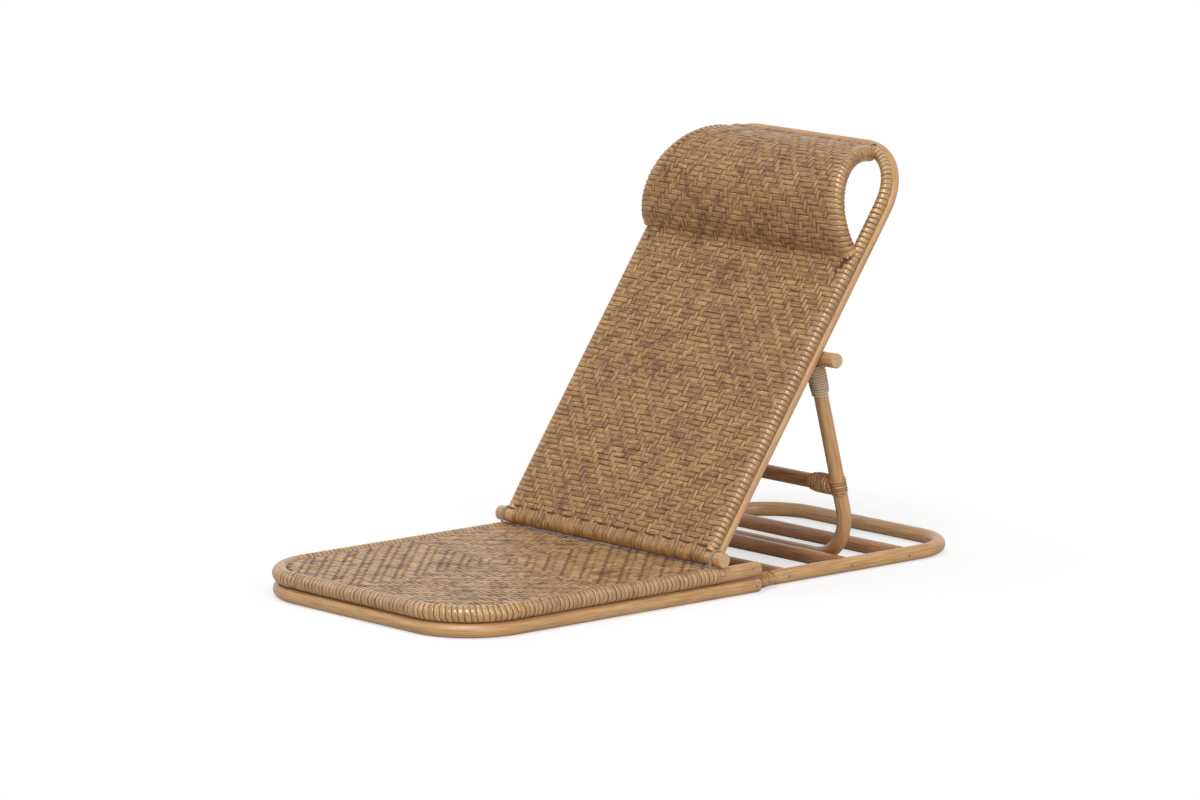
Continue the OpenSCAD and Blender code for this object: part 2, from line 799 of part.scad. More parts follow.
seat_frame_pole();
floor_frame_pole();
seat_rear_bar();
seat_mat();
rear_loop();
slat(slat_1_y);  // slat_front
slat(slat_2_y);  // slat_middle
slat(slat_3_y);  // slat_rear
slat_nails();
frame_nails();
loop_binding(-1);  // loop_binding_left
loop_binding(1);  // loop_binding_right
hinge_tie(-1);  // hinge_tie_left
hinge_tie(1);  // hinge_tie_right
hinge_bar();
mat_frame();
slim_frame();
cheek(-1);  // cheek_left
cheek(1);  // cheek_right
back_mat();
head_mat();
frame_wrap(-1);  // frame_wrap_left
frame_wrap(1);  // frame_wrap_right
upper_bar();
bar_nails();
hinge_nails();
prop_frame();
prop_crossbar();
leg_lashing(-1);  // leg_lashing_left
leg_lashing(1);  // leg_lashing_right
leg_cane(-1);  // leg_cane_left
leg_cane(1);  // leg_cane_right
bar_cane(-1);  // bar_cane_left
bar_cane(1);  // bar_cane_right
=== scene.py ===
# Low folding sun lounger of bent rattan poles with woven cane mats.
import bpy
import math
import numpy as np
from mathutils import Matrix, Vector


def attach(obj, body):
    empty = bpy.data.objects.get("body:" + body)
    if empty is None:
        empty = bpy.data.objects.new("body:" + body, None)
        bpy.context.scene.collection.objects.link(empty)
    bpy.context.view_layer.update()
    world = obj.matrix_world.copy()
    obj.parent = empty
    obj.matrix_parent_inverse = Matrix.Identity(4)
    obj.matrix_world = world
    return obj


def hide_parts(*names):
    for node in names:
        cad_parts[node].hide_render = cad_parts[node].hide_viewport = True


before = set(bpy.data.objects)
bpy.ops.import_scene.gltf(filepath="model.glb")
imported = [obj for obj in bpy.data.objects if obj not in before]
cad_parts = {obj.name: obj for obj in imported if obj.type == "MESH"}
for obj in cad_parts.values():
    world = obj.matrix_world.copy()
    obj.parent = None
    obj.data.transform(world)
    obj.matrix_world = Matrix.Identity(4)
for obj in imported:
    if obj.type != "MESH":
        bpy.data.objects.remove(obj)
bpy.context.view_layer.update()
rng = np.random.default_rng(11)
print("Frame loaded")

# Sizes that several pieces share, in millimetres and degrees
hinge = (0.0, -17.15, 65.4)
backAngle = 55.0
poleR, slimR, wrapR = 12.5, 8.4, 13.25
seatX, rackX, backX = 267.0, 241.7, 249.5
topZ, lowZ = 38.9, 12.5
frontY, tailY, footY = -566.15, 70.85, 320.871
seatBend = 112.0
upperBar = {"s": 392.4, "n": -32.1, "half": 281.0}
barCut = 1.2


def addObject(name, data):
    made = bpy.data.objects.new(name, data)
    bpy.context.scene.collection.objects.link(made)
    return made


# Camera
camera = {"place": (8.5955, -7.57695, 2.28515), "target": (0, -0.04075, 0.2983), "lens": 210,
          "sensor": 36}
cameraData = bpy.data.cameras.new("camera")
cameraData.lens = camera["lens"]
cameraData.sensor_width = camera["sensor"]
cameraObject = addObject("camera", cameraData)
cameraObject.location = camera["place"]
sight = Vector(camera["target"]) - Vector(camera["place"])
cameraObject.rotation_euler = sight.to_track_quat("-Z", "Y").to_euler()
bpy.context.scene.camera = cameraObject
bpy.context.scene.view_settings.view_transform = "Standard"


class Wire:
    # a socket of a material, whose arithmetic adds Math nodes
    def __init__(self, tree, socket=None):
        self.tree = tree
        self.socket = socket

    def node(self, kind, settings=None, sockets=None, output=0):
        made = self.tree.nodes.new(kind)
        for key, value in (settings or {}).items():
            if key == "stops":
                ramp = made.color_ramp
                while len(ramp.elements) < len(value):
                    ramp.elements.new(1.0)
                for element, (place, colour) in zip(ramp.elements, value):
                    element.position = place
                    element.color = (*colour, 1.0)
            else:
                setattr(made, key, value)
        for key, value in (sockets or {}).items():
            slot = made.inputs[key]
            if isinstance(value, Wire):
                self.tree.links.new(value.socket, slot)
            elif slot.type == "RGBA" and len(value) == 3:
                slot.default_value = (*value, 1.0)
            else:
                slot.default_value = value
        return Wire(self.tree, made.outputs[output])

    def math(self, operation, a, b):
        return self.node("ShaderNodeMath", {"operation": operation}, {0: a, 1: b})

    def __add__(self, other):
        return self.math("ADD", self, other)

    def __radd__(self, other):
        return self.math("ADD", other, self)

    def __sub__(self, other):
        return self.math("SUBTRACT", self, other)

    def __rsub__(self, other):
        return self.math("SUBTRACT", other, self)

    def __mul__(self, other):
        return self.math("MULTIPLY", self, other)

    def __rmul__(self, other):
        return self.math("MULTIPLY", other, self)

    def rise(self, low, high):
        # 0 below low, 1 above high, smooth between them
        return self.node("ShaderNodeMapRange", {"interpolation_type": "SMOOTHSTEP"},
                         {0: self, 1: low, 2: high})

    def between(self, low, high):
        # the colour low where this value is 0 and high where it is 1
        return self.node("ShaderNodeMix", {"data_type": "RGBA"}, {0: self, 6: low, 7: high}, 2)

    def mix(self, other, share):
        return share.between(self, other)

    def ramp(self, *stops):
        return self.node("ShaderNodeValToRGB", {"stops": stops}, {0: self})

    def bump(self, strength, distance):
        return self.node("ShaderNodeBump", {}, {
            "Strength": strength, "Distance": distance, "Height": self})

    def shade(self, amount):
        return self.node("ShaderNodeMix", {"data_type": "RGBA", "blend_type": "MULTIPLY"},
                         {0: 1.0, 6: self, 7: amount}, 2)

    def stretch(self, scale):
        return self.node("ShaderNodeVectorMath", {"operation": "MULTIPLY"}, {0: self, 1: scale})

    def toward(self, way):
        return self.node("ShaderNodeVectorMath", {"operation": "DOT_PRODUCT"}, {0: self, 1: way}, 1)

    def noise(self, scale, detail, roughness, distortion=0.0):
        return self.node("ShaderNodeTexNoise", {}, {
            "Vector": self, "Scale": scale, "Detail": detail,
            "Roughness": roughness, "Distortion": distortion})


def newMaterial(name):
    material = bpy.data.materials.new(name)
    material.use_nodes = True
    material.node_tree.nodes.clear()
    return material, Wire(material.node_tree)


def closeTree(wire, shader, kind="ShaderNodeOutputMaterial"):
    out = wire.tree.nodes.new(kind)
    wire.tree.links.new(shader.socket, out.inputs["Surface"])


def closeMaterial(wire, colour, roughness, bump, fixed):
    sockets = {"Base Color": colour, "Roughness": roughness, "Normal": bump, **fixed}
    closeTree(wire, wire.node("ShaderNodeBsdfPrincipled", {}, sockets))


def readMark(wire, name, output):
    return wire.node("ShaderNodeAttribute", {"attribute_name": name}, {}, output)


# Rattan pole: fibres along it, brown streaks, sawn ends with pores
def poleFinish(name, look):
    material, wire = newMaterial(name)
    grain = readMark(wire, "fibre", 1)
    sawn = readMark(wire, "edge", 2)
    streak = grain.stretch((1.0, 1.0, 0.035)).noise(420.0, 4.0, 0.6)
    fine = grain.stretch((1.0, 1.0, 0.02)).noise(1500.0, 2.0, 0.6)
    patch = grain.stretch((1.0, 1.0, 0.25)).noise(26.0, 3.0, 0.55)
    colour = streak.ramp((0.28, look["dark"]), (0.5, look["mid"]), (0.72, look["light"]))
    colour = colour.mix(look["patch"], patch.rise(0.48, 0.72) * look["patchShare"])
    colour = colour.shade(fine.rise(0.3, 0.62).between((0.80, 0.76, 0.70), (1.04, 1.03, 1.02)))
    pores = grain.noise(1400.0, 1.0, 0.5).rise(0.60, 0.66)
    colour = colour.mix(pores.between(look["sawn"], look["pore"]), sawn)
    rough = 0.34 + 0.16 * streak + 0.25 * sawn
    bump = (fine * 0.5 + streak * 0.5 - pores * sawn).bump(0.35, 0.0004)
    closeMaterial(wire, colour, rough, bump, {
        "Coat Weight": 0.3, "Coat Roughness": 0.2, "Specular IOR Level": 0.45})
    return material


# Flat cane: fine fibres, stains over the whole mat, painted shade where it dives between its neighbours
# and along its edges
def caneFinish(name, look):
    material, wire = newMaterial(name)
    fibre = readMark(wire, "fibre", 1)
    tone = readMark(wire, "tone", 2)
    edge = readMark(wire, "edge", 2)
    dive = readMark(wire, "dive", 2)
    wound = readMark(wire, "wrap", 2)
    place = wire.node("ShaderNodeTexCoord", {}, {}, 3)
    fine = fibre.stretch((1.0, 1.0, 0.05)).noise(1100.0, 2.0, 0.6)
    broad = fibre.stretch((1.0, 1.0, 0.12)).noise(380.0, 3.0, 0.55)
    stain = place.noise(look["stainScale"], 4.0, 0.6, 0.6)
    speck = place.noise(90.0, 3.0, 0.6)
    mixTone = tone * look["toneShare"] + broad * (1.0 - look["toneShare"])
    colour = mixTone.ramp((0.3, look["dark"]), (0.5, look["mid"]), (0.68, look["light"]))
    spotted = (stain * 0.6 + tone * 0.14 + speck * 0.26).rise(0.53, 0.60)
    colour = colour.mix(look["stain"], spotted * look["stainShare"])
    colour = colour.shade(fine.rise(0.36, 0.62).between((0.78, 0.73, 0.66), (1.09, 1.08, 1.06)))
    colour = colour.shade(broad.rise(0.42, 0.58).between((0.84, 0.80, 0.75), (1.08, 1.07, 1.06)))
    # painted shade: the colour goes towards the gap colour where the strip dips below its neighbours
    low = dive.rise(*look["diveShadeRange"]) * look["diveShadeShare"]
    # painted shade along the strip's edges, darker still between turns where it is wound round a pole
    rim = edge.rise(0.72, 1.0) * look["rimShadeShare"] + edge.rise(1.0, 1.4) * 0.5
    colour = colour.mix(look["light"], wound * 0.35)
    colour = colour.mix(look["gap"], low)
    colour = colour.mix(look["gap"], rim)
    rough = look["rough"] + 0.14 * broad + 0.4 * low - 0.06 * wound
    bare = (1.0 - low) * (1.0 - rim)
    closeMaterial(wire, colour, rough, (fine * 0.6 + broad).bump(0.4, 0.0004), {
        "Coat Weight": (look["coat"] + 0.6 * wound) * bare, "Coat Roughness": 0.14,
        "Specular IOR Level": 0.35})
    return material


# Twisted twine: slanting plies and fuzz
def twineFinish(name, look):
    material, wire = newMaterial(name)
    fibre = readMark(wire, "fibre", 1)
    ply = wire.node("ShaderNodeTexWave", {"wave_type": "BANDS", "bands_direction": "DIAGONAL"}, {
        "Vector": fibre, "Scale": 260.0, "Distortion": 2.0, "Detail": 2.0})
    fuzz = fibre.noise(1800.0, 3.0, 0.6)
    colour = (ply * 0.6 + fuzz * 0.4).between(look["dark"], look["light"])
    closeMaterial(wire, colour, 0.75 + 0.1 * fuzz, (ply + fuzz).bump(0.8, 0.0006),
                  {"Specular IOR Level": 0.3})
    return material


def nailFinish(name, look):
    material, wire = newMaterial(name)
    place = wire.node("ShaderNodeTexCoord", {}, {}, 3)
    cloud = place.noise(900.0, 3.0, 0.6)
    colour = cloud.between(look["dark"], look["light"])
    closeMaterial(wire, colour, 0.35 + 0.3 * cloud, cloud.bump(0.3, 0.0003), {"Metallic": 0.8})
    return material


# Colours of the canes and poles, light to dark, and how much each effect shows
poleLook = {"light": (0.64, 0.405, 0.195), "mid": (0.54, 0.31, 0.135), "dark": (0.37, 0.188, 0.073),
            "patch": (0.40, 0.185, 0.07), "patchShare": 0.45,
            "sawn": (0.56, 0.36, 0.19), "pore": (0.30, 0.17, 0.08)}
slatLook = dict(poleLook, light=(0.60, 0.31, 0.14), mid=(0.46, 0.22, 0.093), dark=(0.28, 0.12, 0.048),
                patch=(0.22, 0.10, 0.042))
# the cane's gap colour is painted shade, laid where a strip dips between its neighbours and along its
# edges
matLook = {"light": (0.49, 0.28, 0.107), "mid": (0.385, 0.215, 0.079), "dark": (0.25, 0.124, 0.042),
           "stain": (0.20, 0.088, 0.036), "gap": (0.07, 0.032, 0.013),
           "stainScale": 26.0, "toneShare": 0.34,
           "stainShare": 0.85, "diveShadeShare": 0.85, "diveShadeRange": (0.1, 0.42), "rimShadeShare": 0.1,
           "rough": 0.32, "coat": 0.25}
edgeLook = dict(matLook, light=(0.60, 0.355, 0.15), mid=(0.50, 0.285, 0.112), dark=(0.34, 0.175, 0.065),
                stainShare=0.4, rimShadeShare=0.7, rough=0.26, coat=0.3)
bindLook = dict(edgeLook, light=(0.60, 0.37, 0.18), mid=(0.47, 0.27, 0.115), dark=(0.30, 0.155, 0.065))
# the seat's cane is the back's cane made lighter and bluer, painted sheen for the pale look its top
# takes at a grazing view; its darker gap colour and earlier dive range paint deeper shade into the
# holes between rows
seatSheenLook = dict(matLook, light=(0.58, 0.36, 0.165), mid=(0.46, 0.28, 0.125), dark=(0.31, 0.165, 0.065),
                gap=(0.03, 0.013, 0.005), diveShadeRange=(0.015, 0.2))
tieLook = {"dark": (0.22, 0.185, 0.12), "light": (0.50, 0.44, 0.31)}
twineLook = {"dark": (0.27, 0.20, 0.12), "light": (0.90, 0.76, 0.55)}
nailLook = {"dark": (0.10, 0.09, 0.08), "light": (0.42, 0.38, 0.33)}

finishes = {
    "pole": (poleFinish("rattan pole", poleLook), "rattan_pole"),
    "slat": (poleFinish("dark rattan", slatLook), "dark_rattan"),
    "prop": (poleFinish("prop rattan", poleLook), "prop_rattan"),
    "mat": (caneFinish("woven cane", matLook), "woven_cane"),
    "seat": (caneFinish("seat cane with painted sheen", seatSheenLook), "woven_cane"),
    "edge": (caneFinish("edge cane", edgeLook), "edge_cane"),
    "bind": (caneFinish("binding cane", bindLook), "binding_cane"),
    "twine": (twineFinish("lashing twine", twineLook), "lashing_cord"),
    "tie": (twineFinish("tie cord", tieLook), "lashing_cord"),
    "nail": (nailFinish("nail steel", nailLook), "nail_steel"),
}
print("Materials made")


# Places of the three bodies
def turnAbout(points, degrees, origin):
    # turns [x, forward, up] places about the X axis and puts them at the origin given
    c = math.cos(math.radians(degrees))
    s = math.sin(math.radians(degrees))
    points = np.asarray(points, float)
    turned = np.stack([points[..., 0], points[..., 1] * c - points[..., 2] * s,
                       points[..., 1] * s + points[..., 2] * c], axis=-1)
    return turned + np.array(origin)


def onFloor(points):
    return np.asarray(points, float)


def onBack(points):
    return turnAbout(points, backAngle, hinge)


# The prop hangs from the upper bar and leans back to its foot
pivot = onBack([0.0, upperBar["s"], upperBar["n"]])
propReach = (footY - pivot[1], pivot[2] - poleR)
propLean = math.degrees(math.atan2(*propReach))
propLength = math.hypot(*propReach)


def onProp(points):
    return turnAbout(points, propLean, pivot)


def makePiece(name, body, finish, nodes, parts):
    # parts: (points, faces, marks, sharp) in millimetres, joined into one mesh
    allPoints, allFaces, allSharp = [], [], []
    marks = {"fibre": [], "tone": [], "edge": [], "dive": [], "wrap": []}
    count = 0
    for points, faces, mark, sharp in parts:
        allPoints.append(points)
        allFaces += [[v + count for v in face] for face in faces]
        allSharp += sharp
        for key, values in marks.items():
            size = (len(points), 3) if key == "fibre" else (len(points),)
            values.append(np.broadcast_to(np.asarray(mark.get(key, 0.0), float), size))
        count += len(points)
    mesh = bpy.data.meshes.new(name)
    mesh.from_pydata((np.concatenate(allPoints) * 0.001).tolist(), [], allFaces)
    mesh.polygons.foreach_set("use_smooth", [not flag for flag in allSharp])
    for key, values in marks.items():
        flat = np.concatenate(values)
        if key == "fibre":
            layer = mesh.attributes.new(key, "FLOAT_VECTOR", "POINT")
            layer.data.foreach_set("vector", (flat * 0.001).ravel())
        else:
            layer = mesh.attributes.new(key, "FLOAT", "POINT")
            layer.data.foreach_set("value", flat.ravel())
    material, slotName = finishes[finish]
    mesh.materials.append(material)
    piece = addObject(name, mesh)
    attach(piece, body)
    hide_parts(*nodes)


def ringFaces(rows, cols, sharpCols=()):
    # quads between rings that run round the way of travel, and which of them stay flat
    i = np.arange(rows - 1)[:, None] * cols
    j = np.arange(cols)[None, :]
    k = (j + 1) % cols
    quads = np.stack([i + j, i + k, i + k + cols, i + j + cols], axis=-1).reshape(-1, 4)
    flat = [col in sharpCols for col in range(cols)] * (rows - 1)
    faces = quads.tolist()
    faces.append(list(range(cols))[::-1])
    faces.append(list(range((rows - 1) * cols, rows * cols)))
    return faces, flat + [True, True]


def unit(vectors):
    return vectors / np.linalg.norm(vectors, axis=-1, keepdims=True)


def roundAngles(sides):
    return np.linspace(0, 2 * math.pi, sides, endpoint=False)


def walk(points):
    # lengths walked along the points, and the unit way at each of them
    steps = np.linalg.norm(np.diff(points, axis=0), axis=1)
    ways = np.diff(points, axis=0) / steps[:, None]
    tangents = np.vstack([ways[:1], ways[:-1] + ways[1:], ways[-1:]])
    return np.concatenate([[0], np.cumsum(steps)]), unit(tangents)


def lookUp(s, along, table):
    # rows of the table at the lengths s
    return np.stack([np.interp(s, along, column) for column in table.T], -1)


def bend(corners, bendR, step=2.0):
    # points along straights that are joined by round bends
    corners = [np.array(c, float) for c in corners]
    points = [corners[0]]
    for before, corner, after in zip(corners, corners[1:], corners[2:]):
        u, v = unit(corner - before), unit(after - corner)
        turn = math.acos(float(u @ v))
        w = unit(v - (u @ v) * u)
        centre = corner - bendR * math.tan(turn / 2) * u + bendR * w
        count = max(8, int(bendR * turn / step))
        points += [centre + bendR * (math.sin(a) * u - math.cos(a) * w)
                   for a in np.linspace(0, turn, count + 1)]
    return points + [corners[-1]]


class Route:
    # flat centre line, put in its place and walked by its length in millimetres
    def __init__(self, points, planeNormal, place=onFloor):
        points = np.array(points, float)
        world = place(np.vstack([points, points[-1] + np.array(planeNormal, float)]))
        self.normal = unit(world[-1] - world[-2])
        self.points = world[:-1]
        self.along, self.tangents = walk(self.points)
        self.length = self.along[-1]

    def at(self, s):
        s = np.asarray(s, float)
        inside = np.clip(s, 0, self.length)
        way = unit(lookUp(inside, self.along, self.tangents))
        place = lookUp(inside, self.along, self.points) + (s - inside)[..., None] * way
        side = np.cross(np.broadcast_to(self.normal, way.shape), way)
        return place, way, side

    def stations(self, bendStep=4.0, straightStep=30.0):
        # places along the route, close together only where it bends
        marks = [0.0]
        while marks[-1] < self.length - 0.01:
            here = self.at(marks[-1])[1]
            near, far = (min(marks[-1] + step, self.length) for step in (bendStep, straightStep))
            bends = any(np.dot(here, self.at(ahead)[1]) < 0.99999 for ahead in (near, far))
            marks.append(near if bends else far)
        return np.array(marks)


def fibreMark(rows, cols, *shares):
    # places in the cane's own frame: two ways across it, and along it
    return np.stack([np.broadcast_to(share, (rows, cols)) for share in shares], -1).reshape(-1, 3)


def poleTube(route, radii, sides=32, wobble=0.06):
    # a pole along a route; radii are (distance, radius) pairs, and both ends are sawn
    knots = [d for d, r in radii if 0 < d < route.length]
    s = np.unique(np.concatenate([route.stations(), knots]))
    r = np.interp(s, *np.transpose(radii))
    place, way, side = route.at(s)
    a = roundAngles(sides)
    # slow waves in the pole's thickness, none of them beyond its radius
    drift = wobble * (np.sin(s / 37.0)[:, None] * np.cos(a * 2)
                      + np.sin(s / 61.0)[:, None] * np.cos(a))
    drift -= 2 * wobble
    drift[0] = drift[-1] = 0
    out = (r[:, None] + drift)[..., None]
    ring = (np.cos(a)[None, :, None] * side[:, None, :]
            + np.sin(a)[None, :, None] * route.normal[None, None, :])
    points = place[:, None, :] + out * ring
    grainR = 12.0
    fibre = fibreMark(len(s), sides, np.cos(a) * grainR, np.sin(a) * grainR, s[:, None])
    faces, sharp = ringFaces(len(s), sides)
    parts = [(points.reshape(-1, 3), faces[:-2], {"fibre": fibre, "tone": 0.5}, sharp[:-2])]
    shares = (1.0, 0.66, 0.33)
    for row, turn in ((0, -1), (len(s) - 1, 1)):
        # sawn end: three rims of shrinking size and a point in the middle
        cap = [place[row] + share * (points[row] - place[row]) for share in shares]
        around = [np.stack([np.cos(a) * r[row] * share, np.sin(a) * r[row] * share,
                            np.full(sides, s[row])], -1) for share in shares]
        capFaces = []
        for j in range(sides):
            k = (j + 1) % sides
            capFaces += [[rim + j, rim + k, rim + sides + k, rim + sides + j] for rim in (0, sides)]
            capFaces.append([2 * sides + j, 2 * sides + k, 3 * sides])
        marks = {"fibre": np.concatenate(around + [[[0, 0, s[row]]]]), "tone": 0.5, "edge": 1.0}
        parts.append((np.concatenate(cap + [place[row][None]]),
                      [face[::turn] for face in capFaces], marks, [True] * len(capFaces)))
    return parts


def evenTube(route, radius):
    return poleTube(route, [(0, radius), (route.length, radius)])


def crossRoute(half, forward, up, place=onFloor):
    # straight, from left to right
    return Route([(-half, forward, up), (half, forward, up)], (0, 0, 1), place)


def loopRoute(x, start, turn, up, bendR, place=onFloor):
    # from start along the right side to the turn, across, and back along the left side
    return Route(bend([(x, start, up), (x, turn, up), (-x, turn, up), (-x, start, up)], bendR),
                 (0, 0, 1), place)


def bothEnds(radii, length):
    # the same radii again from the far end
    return radii + [(length - d, r) for d, r in radii[::-1]]


def chamfered(length, radius, cut):
    return bothEnds([(0, radius - cut), (cut * 0.4, radius - cut * 0.3), (cut, radius)], length)


def stripSection(width, thick, crown):
    # across and height of a cane strip's corners, in the order that turns round its way
    return (np.array([0.5, 0.22, -0.22, -0.5, -0.5, 0.5]) * width,
            np.array([0.0, crown, crown, 0.0, -thick, -thick]))


# how near the rim each corner lies, and the columns of faces that stay flat
stripEdge = np.array([1.0, 0.3, 0.3, 1.0, 1.0, 1.0])
stripFlat = (3, 4, 5)


def stripPart(points, across, shift, along, marks):
    # part of a strip from the rows of its corners; a mark has one value for all, a row or a corner
    rows, cols = points.shape[:2]
    faces, sharp = ringFaces(rows, cols, stripFlat)
    marks = {key: np.broadcast_to(value, (rows, cols)).ravel() for key, value in marks.items()}
    marks["fibre"] = fibreMark(rows, cols, across, shift, along)
    return (points.reshape(-1, 3), faces, marks, sharp)


def windStrip(route, look, start, end, sides=26):
    # one cane strip wound along a pole, turn against turn
    turns = (end - start) / look["pitch"]
    count = int(turns * sides) + 1
    angle = np.linspace(0, turns * 2 * math.pi, count)
    across, height = stripSection(look["width"], look["thick"], look["crown"])
    s = start + look["pitch"] * angle / (2 * math.pi)
    sway = rng.normal(0, look["sway"], int(turns) + 3)
    turnAt = angle / (2 * math.pi)
    slip = np.interp(turnAt, np.arange(len(sway)), sway)
    lift = np.interp(turnAt, np.arange(len(sway)), rng.normal(0, look["liftVary"], len(sway)))
    spots = (s + slip)[:, None] + across[None, :]
    place, way, side = route.at(spots)
    a = angle[:, None, None]
    outward = np.cos(a) * side + np.sin(a) * route.normal
    r = look["top"] - look["crown"] - look["sink"] + height[None, :] + np.minimum(lift, 0)[:, None]
    points = place + r[..., None] * outward
    seeds = np.floor(turnAt).astype(int)
    tones = rng.random(seeds.max() + 2)
    nextTone = np.interp(turnAt, np.arange(len(tones)), tones)
    return stripPart(points, across, seeds[:, None] * look["fibreShift"],
                     (angle * look["top"])[:, None],
                     {"tone": nextTone[:, None], "edge": stripEdge, "wrap": 1.0})


def windCord(place, core, look, steps=22):
    # round cord wound about the local Z axis over a core of (height, radius) pairs
    count = look["turns"] * steps + 1
    angle = np.linspace(0, look["turns"] * 2 * math.pi, count)
    h = np.linspace(look["from"], look["to"], count)
    h = h + look["sway"] * np.sin(angle * 0.37)
    r = np.interp(h, *np.transpose(core)) + look["cordR"] + look["gap"]
    centre = np.stack([r * np.cos(angle), r * np.sin(angle), h], -1)
    return cordTube(centre, look["cordR"], place)


def cordTube(centre, cordR, place, sides=8, axis=(0, 0, 1)):
    way = unit(np.gradient(centre, axis=0))
    side = unit(np.cross(way, np.array(axis, float)))
    up = np.cross(side, way)
    b = roundAngles(sides)
    points = (centre[:, None, :] + cordR * (np.cos(b)[None, :, None] * side[:, None, :]
                                            - np.sin(b)[None, :, None] * up[:, None, :]))
    along = walk(centre)[0][:, None]
    fibre = fibreMark(len(centre), sides, np.cos(b) * cordR, np.sin(b) * cordR, along)
    faces, sharp = ringFaces(len(centre), sides)
    return (place(points.reshape(-1, 3)), faces, {"fibre": fibre, "tone": 0.5}, sharp)


def nailHead(centre, way, look):
    # domed disc that faces along way
    way = unit(np.array(way, float))
    side = unit(np.cross([0, 0, 1.0] if abs(way[2]) < 0.9 else [1.0, 0, 0], way))
    up = np.cross(way, side)
    a = roundAngles(look["sides"])
    circle = np.cos(a)[:, None] * side + np.sin(a)[:, None] * up
    rims = ((1.0, -look["sink"]), (1.0, 0.0), (0.8, look["dome"] * 0.6),
            (0.45, look["dome"] * 0.9), (0.12, look["dome"]))
    points = [np.array(centre) + lift * way + share * look["r"] * circle for share, lift in rims]
    faces, sharp = ringFaces(len(rims), look["sides"])
    return (np.concatenate(points), faces, {"tone": 0.5}, sharp)


# Seat: two bent poles one over the other; the lower one's ends run out in tapered tongues
seatCut = 2.5
topRoute, lowRoute = (loopRoute(seatX, tailY, frontY, z, seatBend) for z in (topZ, lowZ))
makePiece("seat_pole", "base", "pole", ["seat_frame_pole"],
          poleTube(topRoute, chamfered(topRoute.length, poleR, seatCut)))

tongue = {"offsets": (21.8, 14.5), "radii": (8.0, 3.4), "length": 55.5, "sides": 20}
lowParts = poleTube(lowRoute, chamfered(lowRoute.length, poleR, seatCut))
for side in (-1, 1):
    y0 = tailY - seatCut
    ends = zip(tongue["offsets"], (y0, y0 + tongue["length"]))
    tip = Route([(side * (rackX + offset), y, lowZ) for offset, y in ends], (0, 0, 1))
    lowParts += poleTube(tip, list(zip((0, tip.length), tongue["radii"])), tongue["sides"])
makePiece("floor_pole", "base", "pole", ["floor_frame_pole"], lowParts)

rearBar = {"y": -1.15, "z": 36.9, "r": 10.0, "half": 253}
makePiece("seat_bar", "base", "pole", ["seat_rear_bar"],
          evenTube(crossRoute(rearBar["half"], rearBar["y"], rearBar["z"]), rearBar["r"]))


class Sheet:
    # woven surface: a profile in the plane of forward and up, drawn out along X
    def __init__(self, profile, place):
        self.profile = np.array(profile, float)
        self.along, self.tangents = walk(self.profile)
        self.length = self.along[-1]
        self.place = place

    def at(self, x, v, lift):
        # place of points at x, at the length v along the profile and lifted off it
        forward, up = np.moveaxis(lookUp(v, self.along, self.profile), -1, 0)
        ahead, rise = np.moveaxis(unit(lookUp(v, self.along, self.tangents)), -1, 0)
        return np.stack([x, forward - rise * lift, up + ahead * lift], -1)


# the look that all the weaves share
cane = {"width": 0.975, "thick": 0.7, "crown": 0.4, "lift": 0.74, "tilt": 0.05, "sway": 0.2,
        "toneKeep": 0.45, "wrapDive": 0.05, "endDive": 0.3, "wrapRimShade": 1.4, "hemX": 5.0,
        "rowStep": 9.2, "shortest": 12.0, "swayRun": 47.0, "fibreShift": 9.7}
# a strip over one crossing: places in steps, and shares of the full lift there
peak, onward = 1.06, 1.03
floatShape = ((-0.5, 0.0), (-0.36, 0.62), (-0.2, 0.94), (0.0, peak), (0.2, 0.94), (0.36, 0.62))
# strips of a mat go on round its side poles: angles of the wrap, and how deep the pole lies;
# rowLines and colLines of a mat are the numbers of its strips, counted from its middle
sideWrap = {"r": 9.2, "depth": 7.8, "from": 112.0, "to": -185.0, "count": 22}
seatWrap = {"r": wrapR, "depth": 9.1, "from": 134.0, "to": -205.0, "count": 24}
cheekWrap = {"r": wrapR, "depth": 11.6, "from": 114.0, "to": -190.0, "count": 24}


def stripPath(spots, lifts, low, high, wrap):
    # the way of one strip in its own plane: along and lift, with a wrap round a pole at each end
    keep = (spots > low) & (spots < high)
    path = [np.stack([spots[keep], lifts[keep]], -1)]
    for side, edge in ((-1, low), (1, high)):
        if wrap is None or wrap.get("only", side) != side:
            end = np.array([[edge, np.interp(edge, spots, lifts) * 0.5 - 0.2]])
        else:
            a = np.radians(np.linspace(wrap["from"], wrap["to"], wrap["count"]))
            spread = wrap["r"] * wrap.get("stretch", 1.0)
            end = np.stack([edge + side * (wrap["reach"] + spread * np.cos(a)),
                            wrap["r"] * np.sin(a) - wrap["depth"]], -1)
        path = [end[::-1]] + path if side < 0 else path + [end]
    sizes = [len(part) for part in path]
    path = np.concatenate(path)
    inner = np.zeros(len(path), bool)
    inner[sizes[0]:len(path) - sizes[-1]] = True
    return path, inner


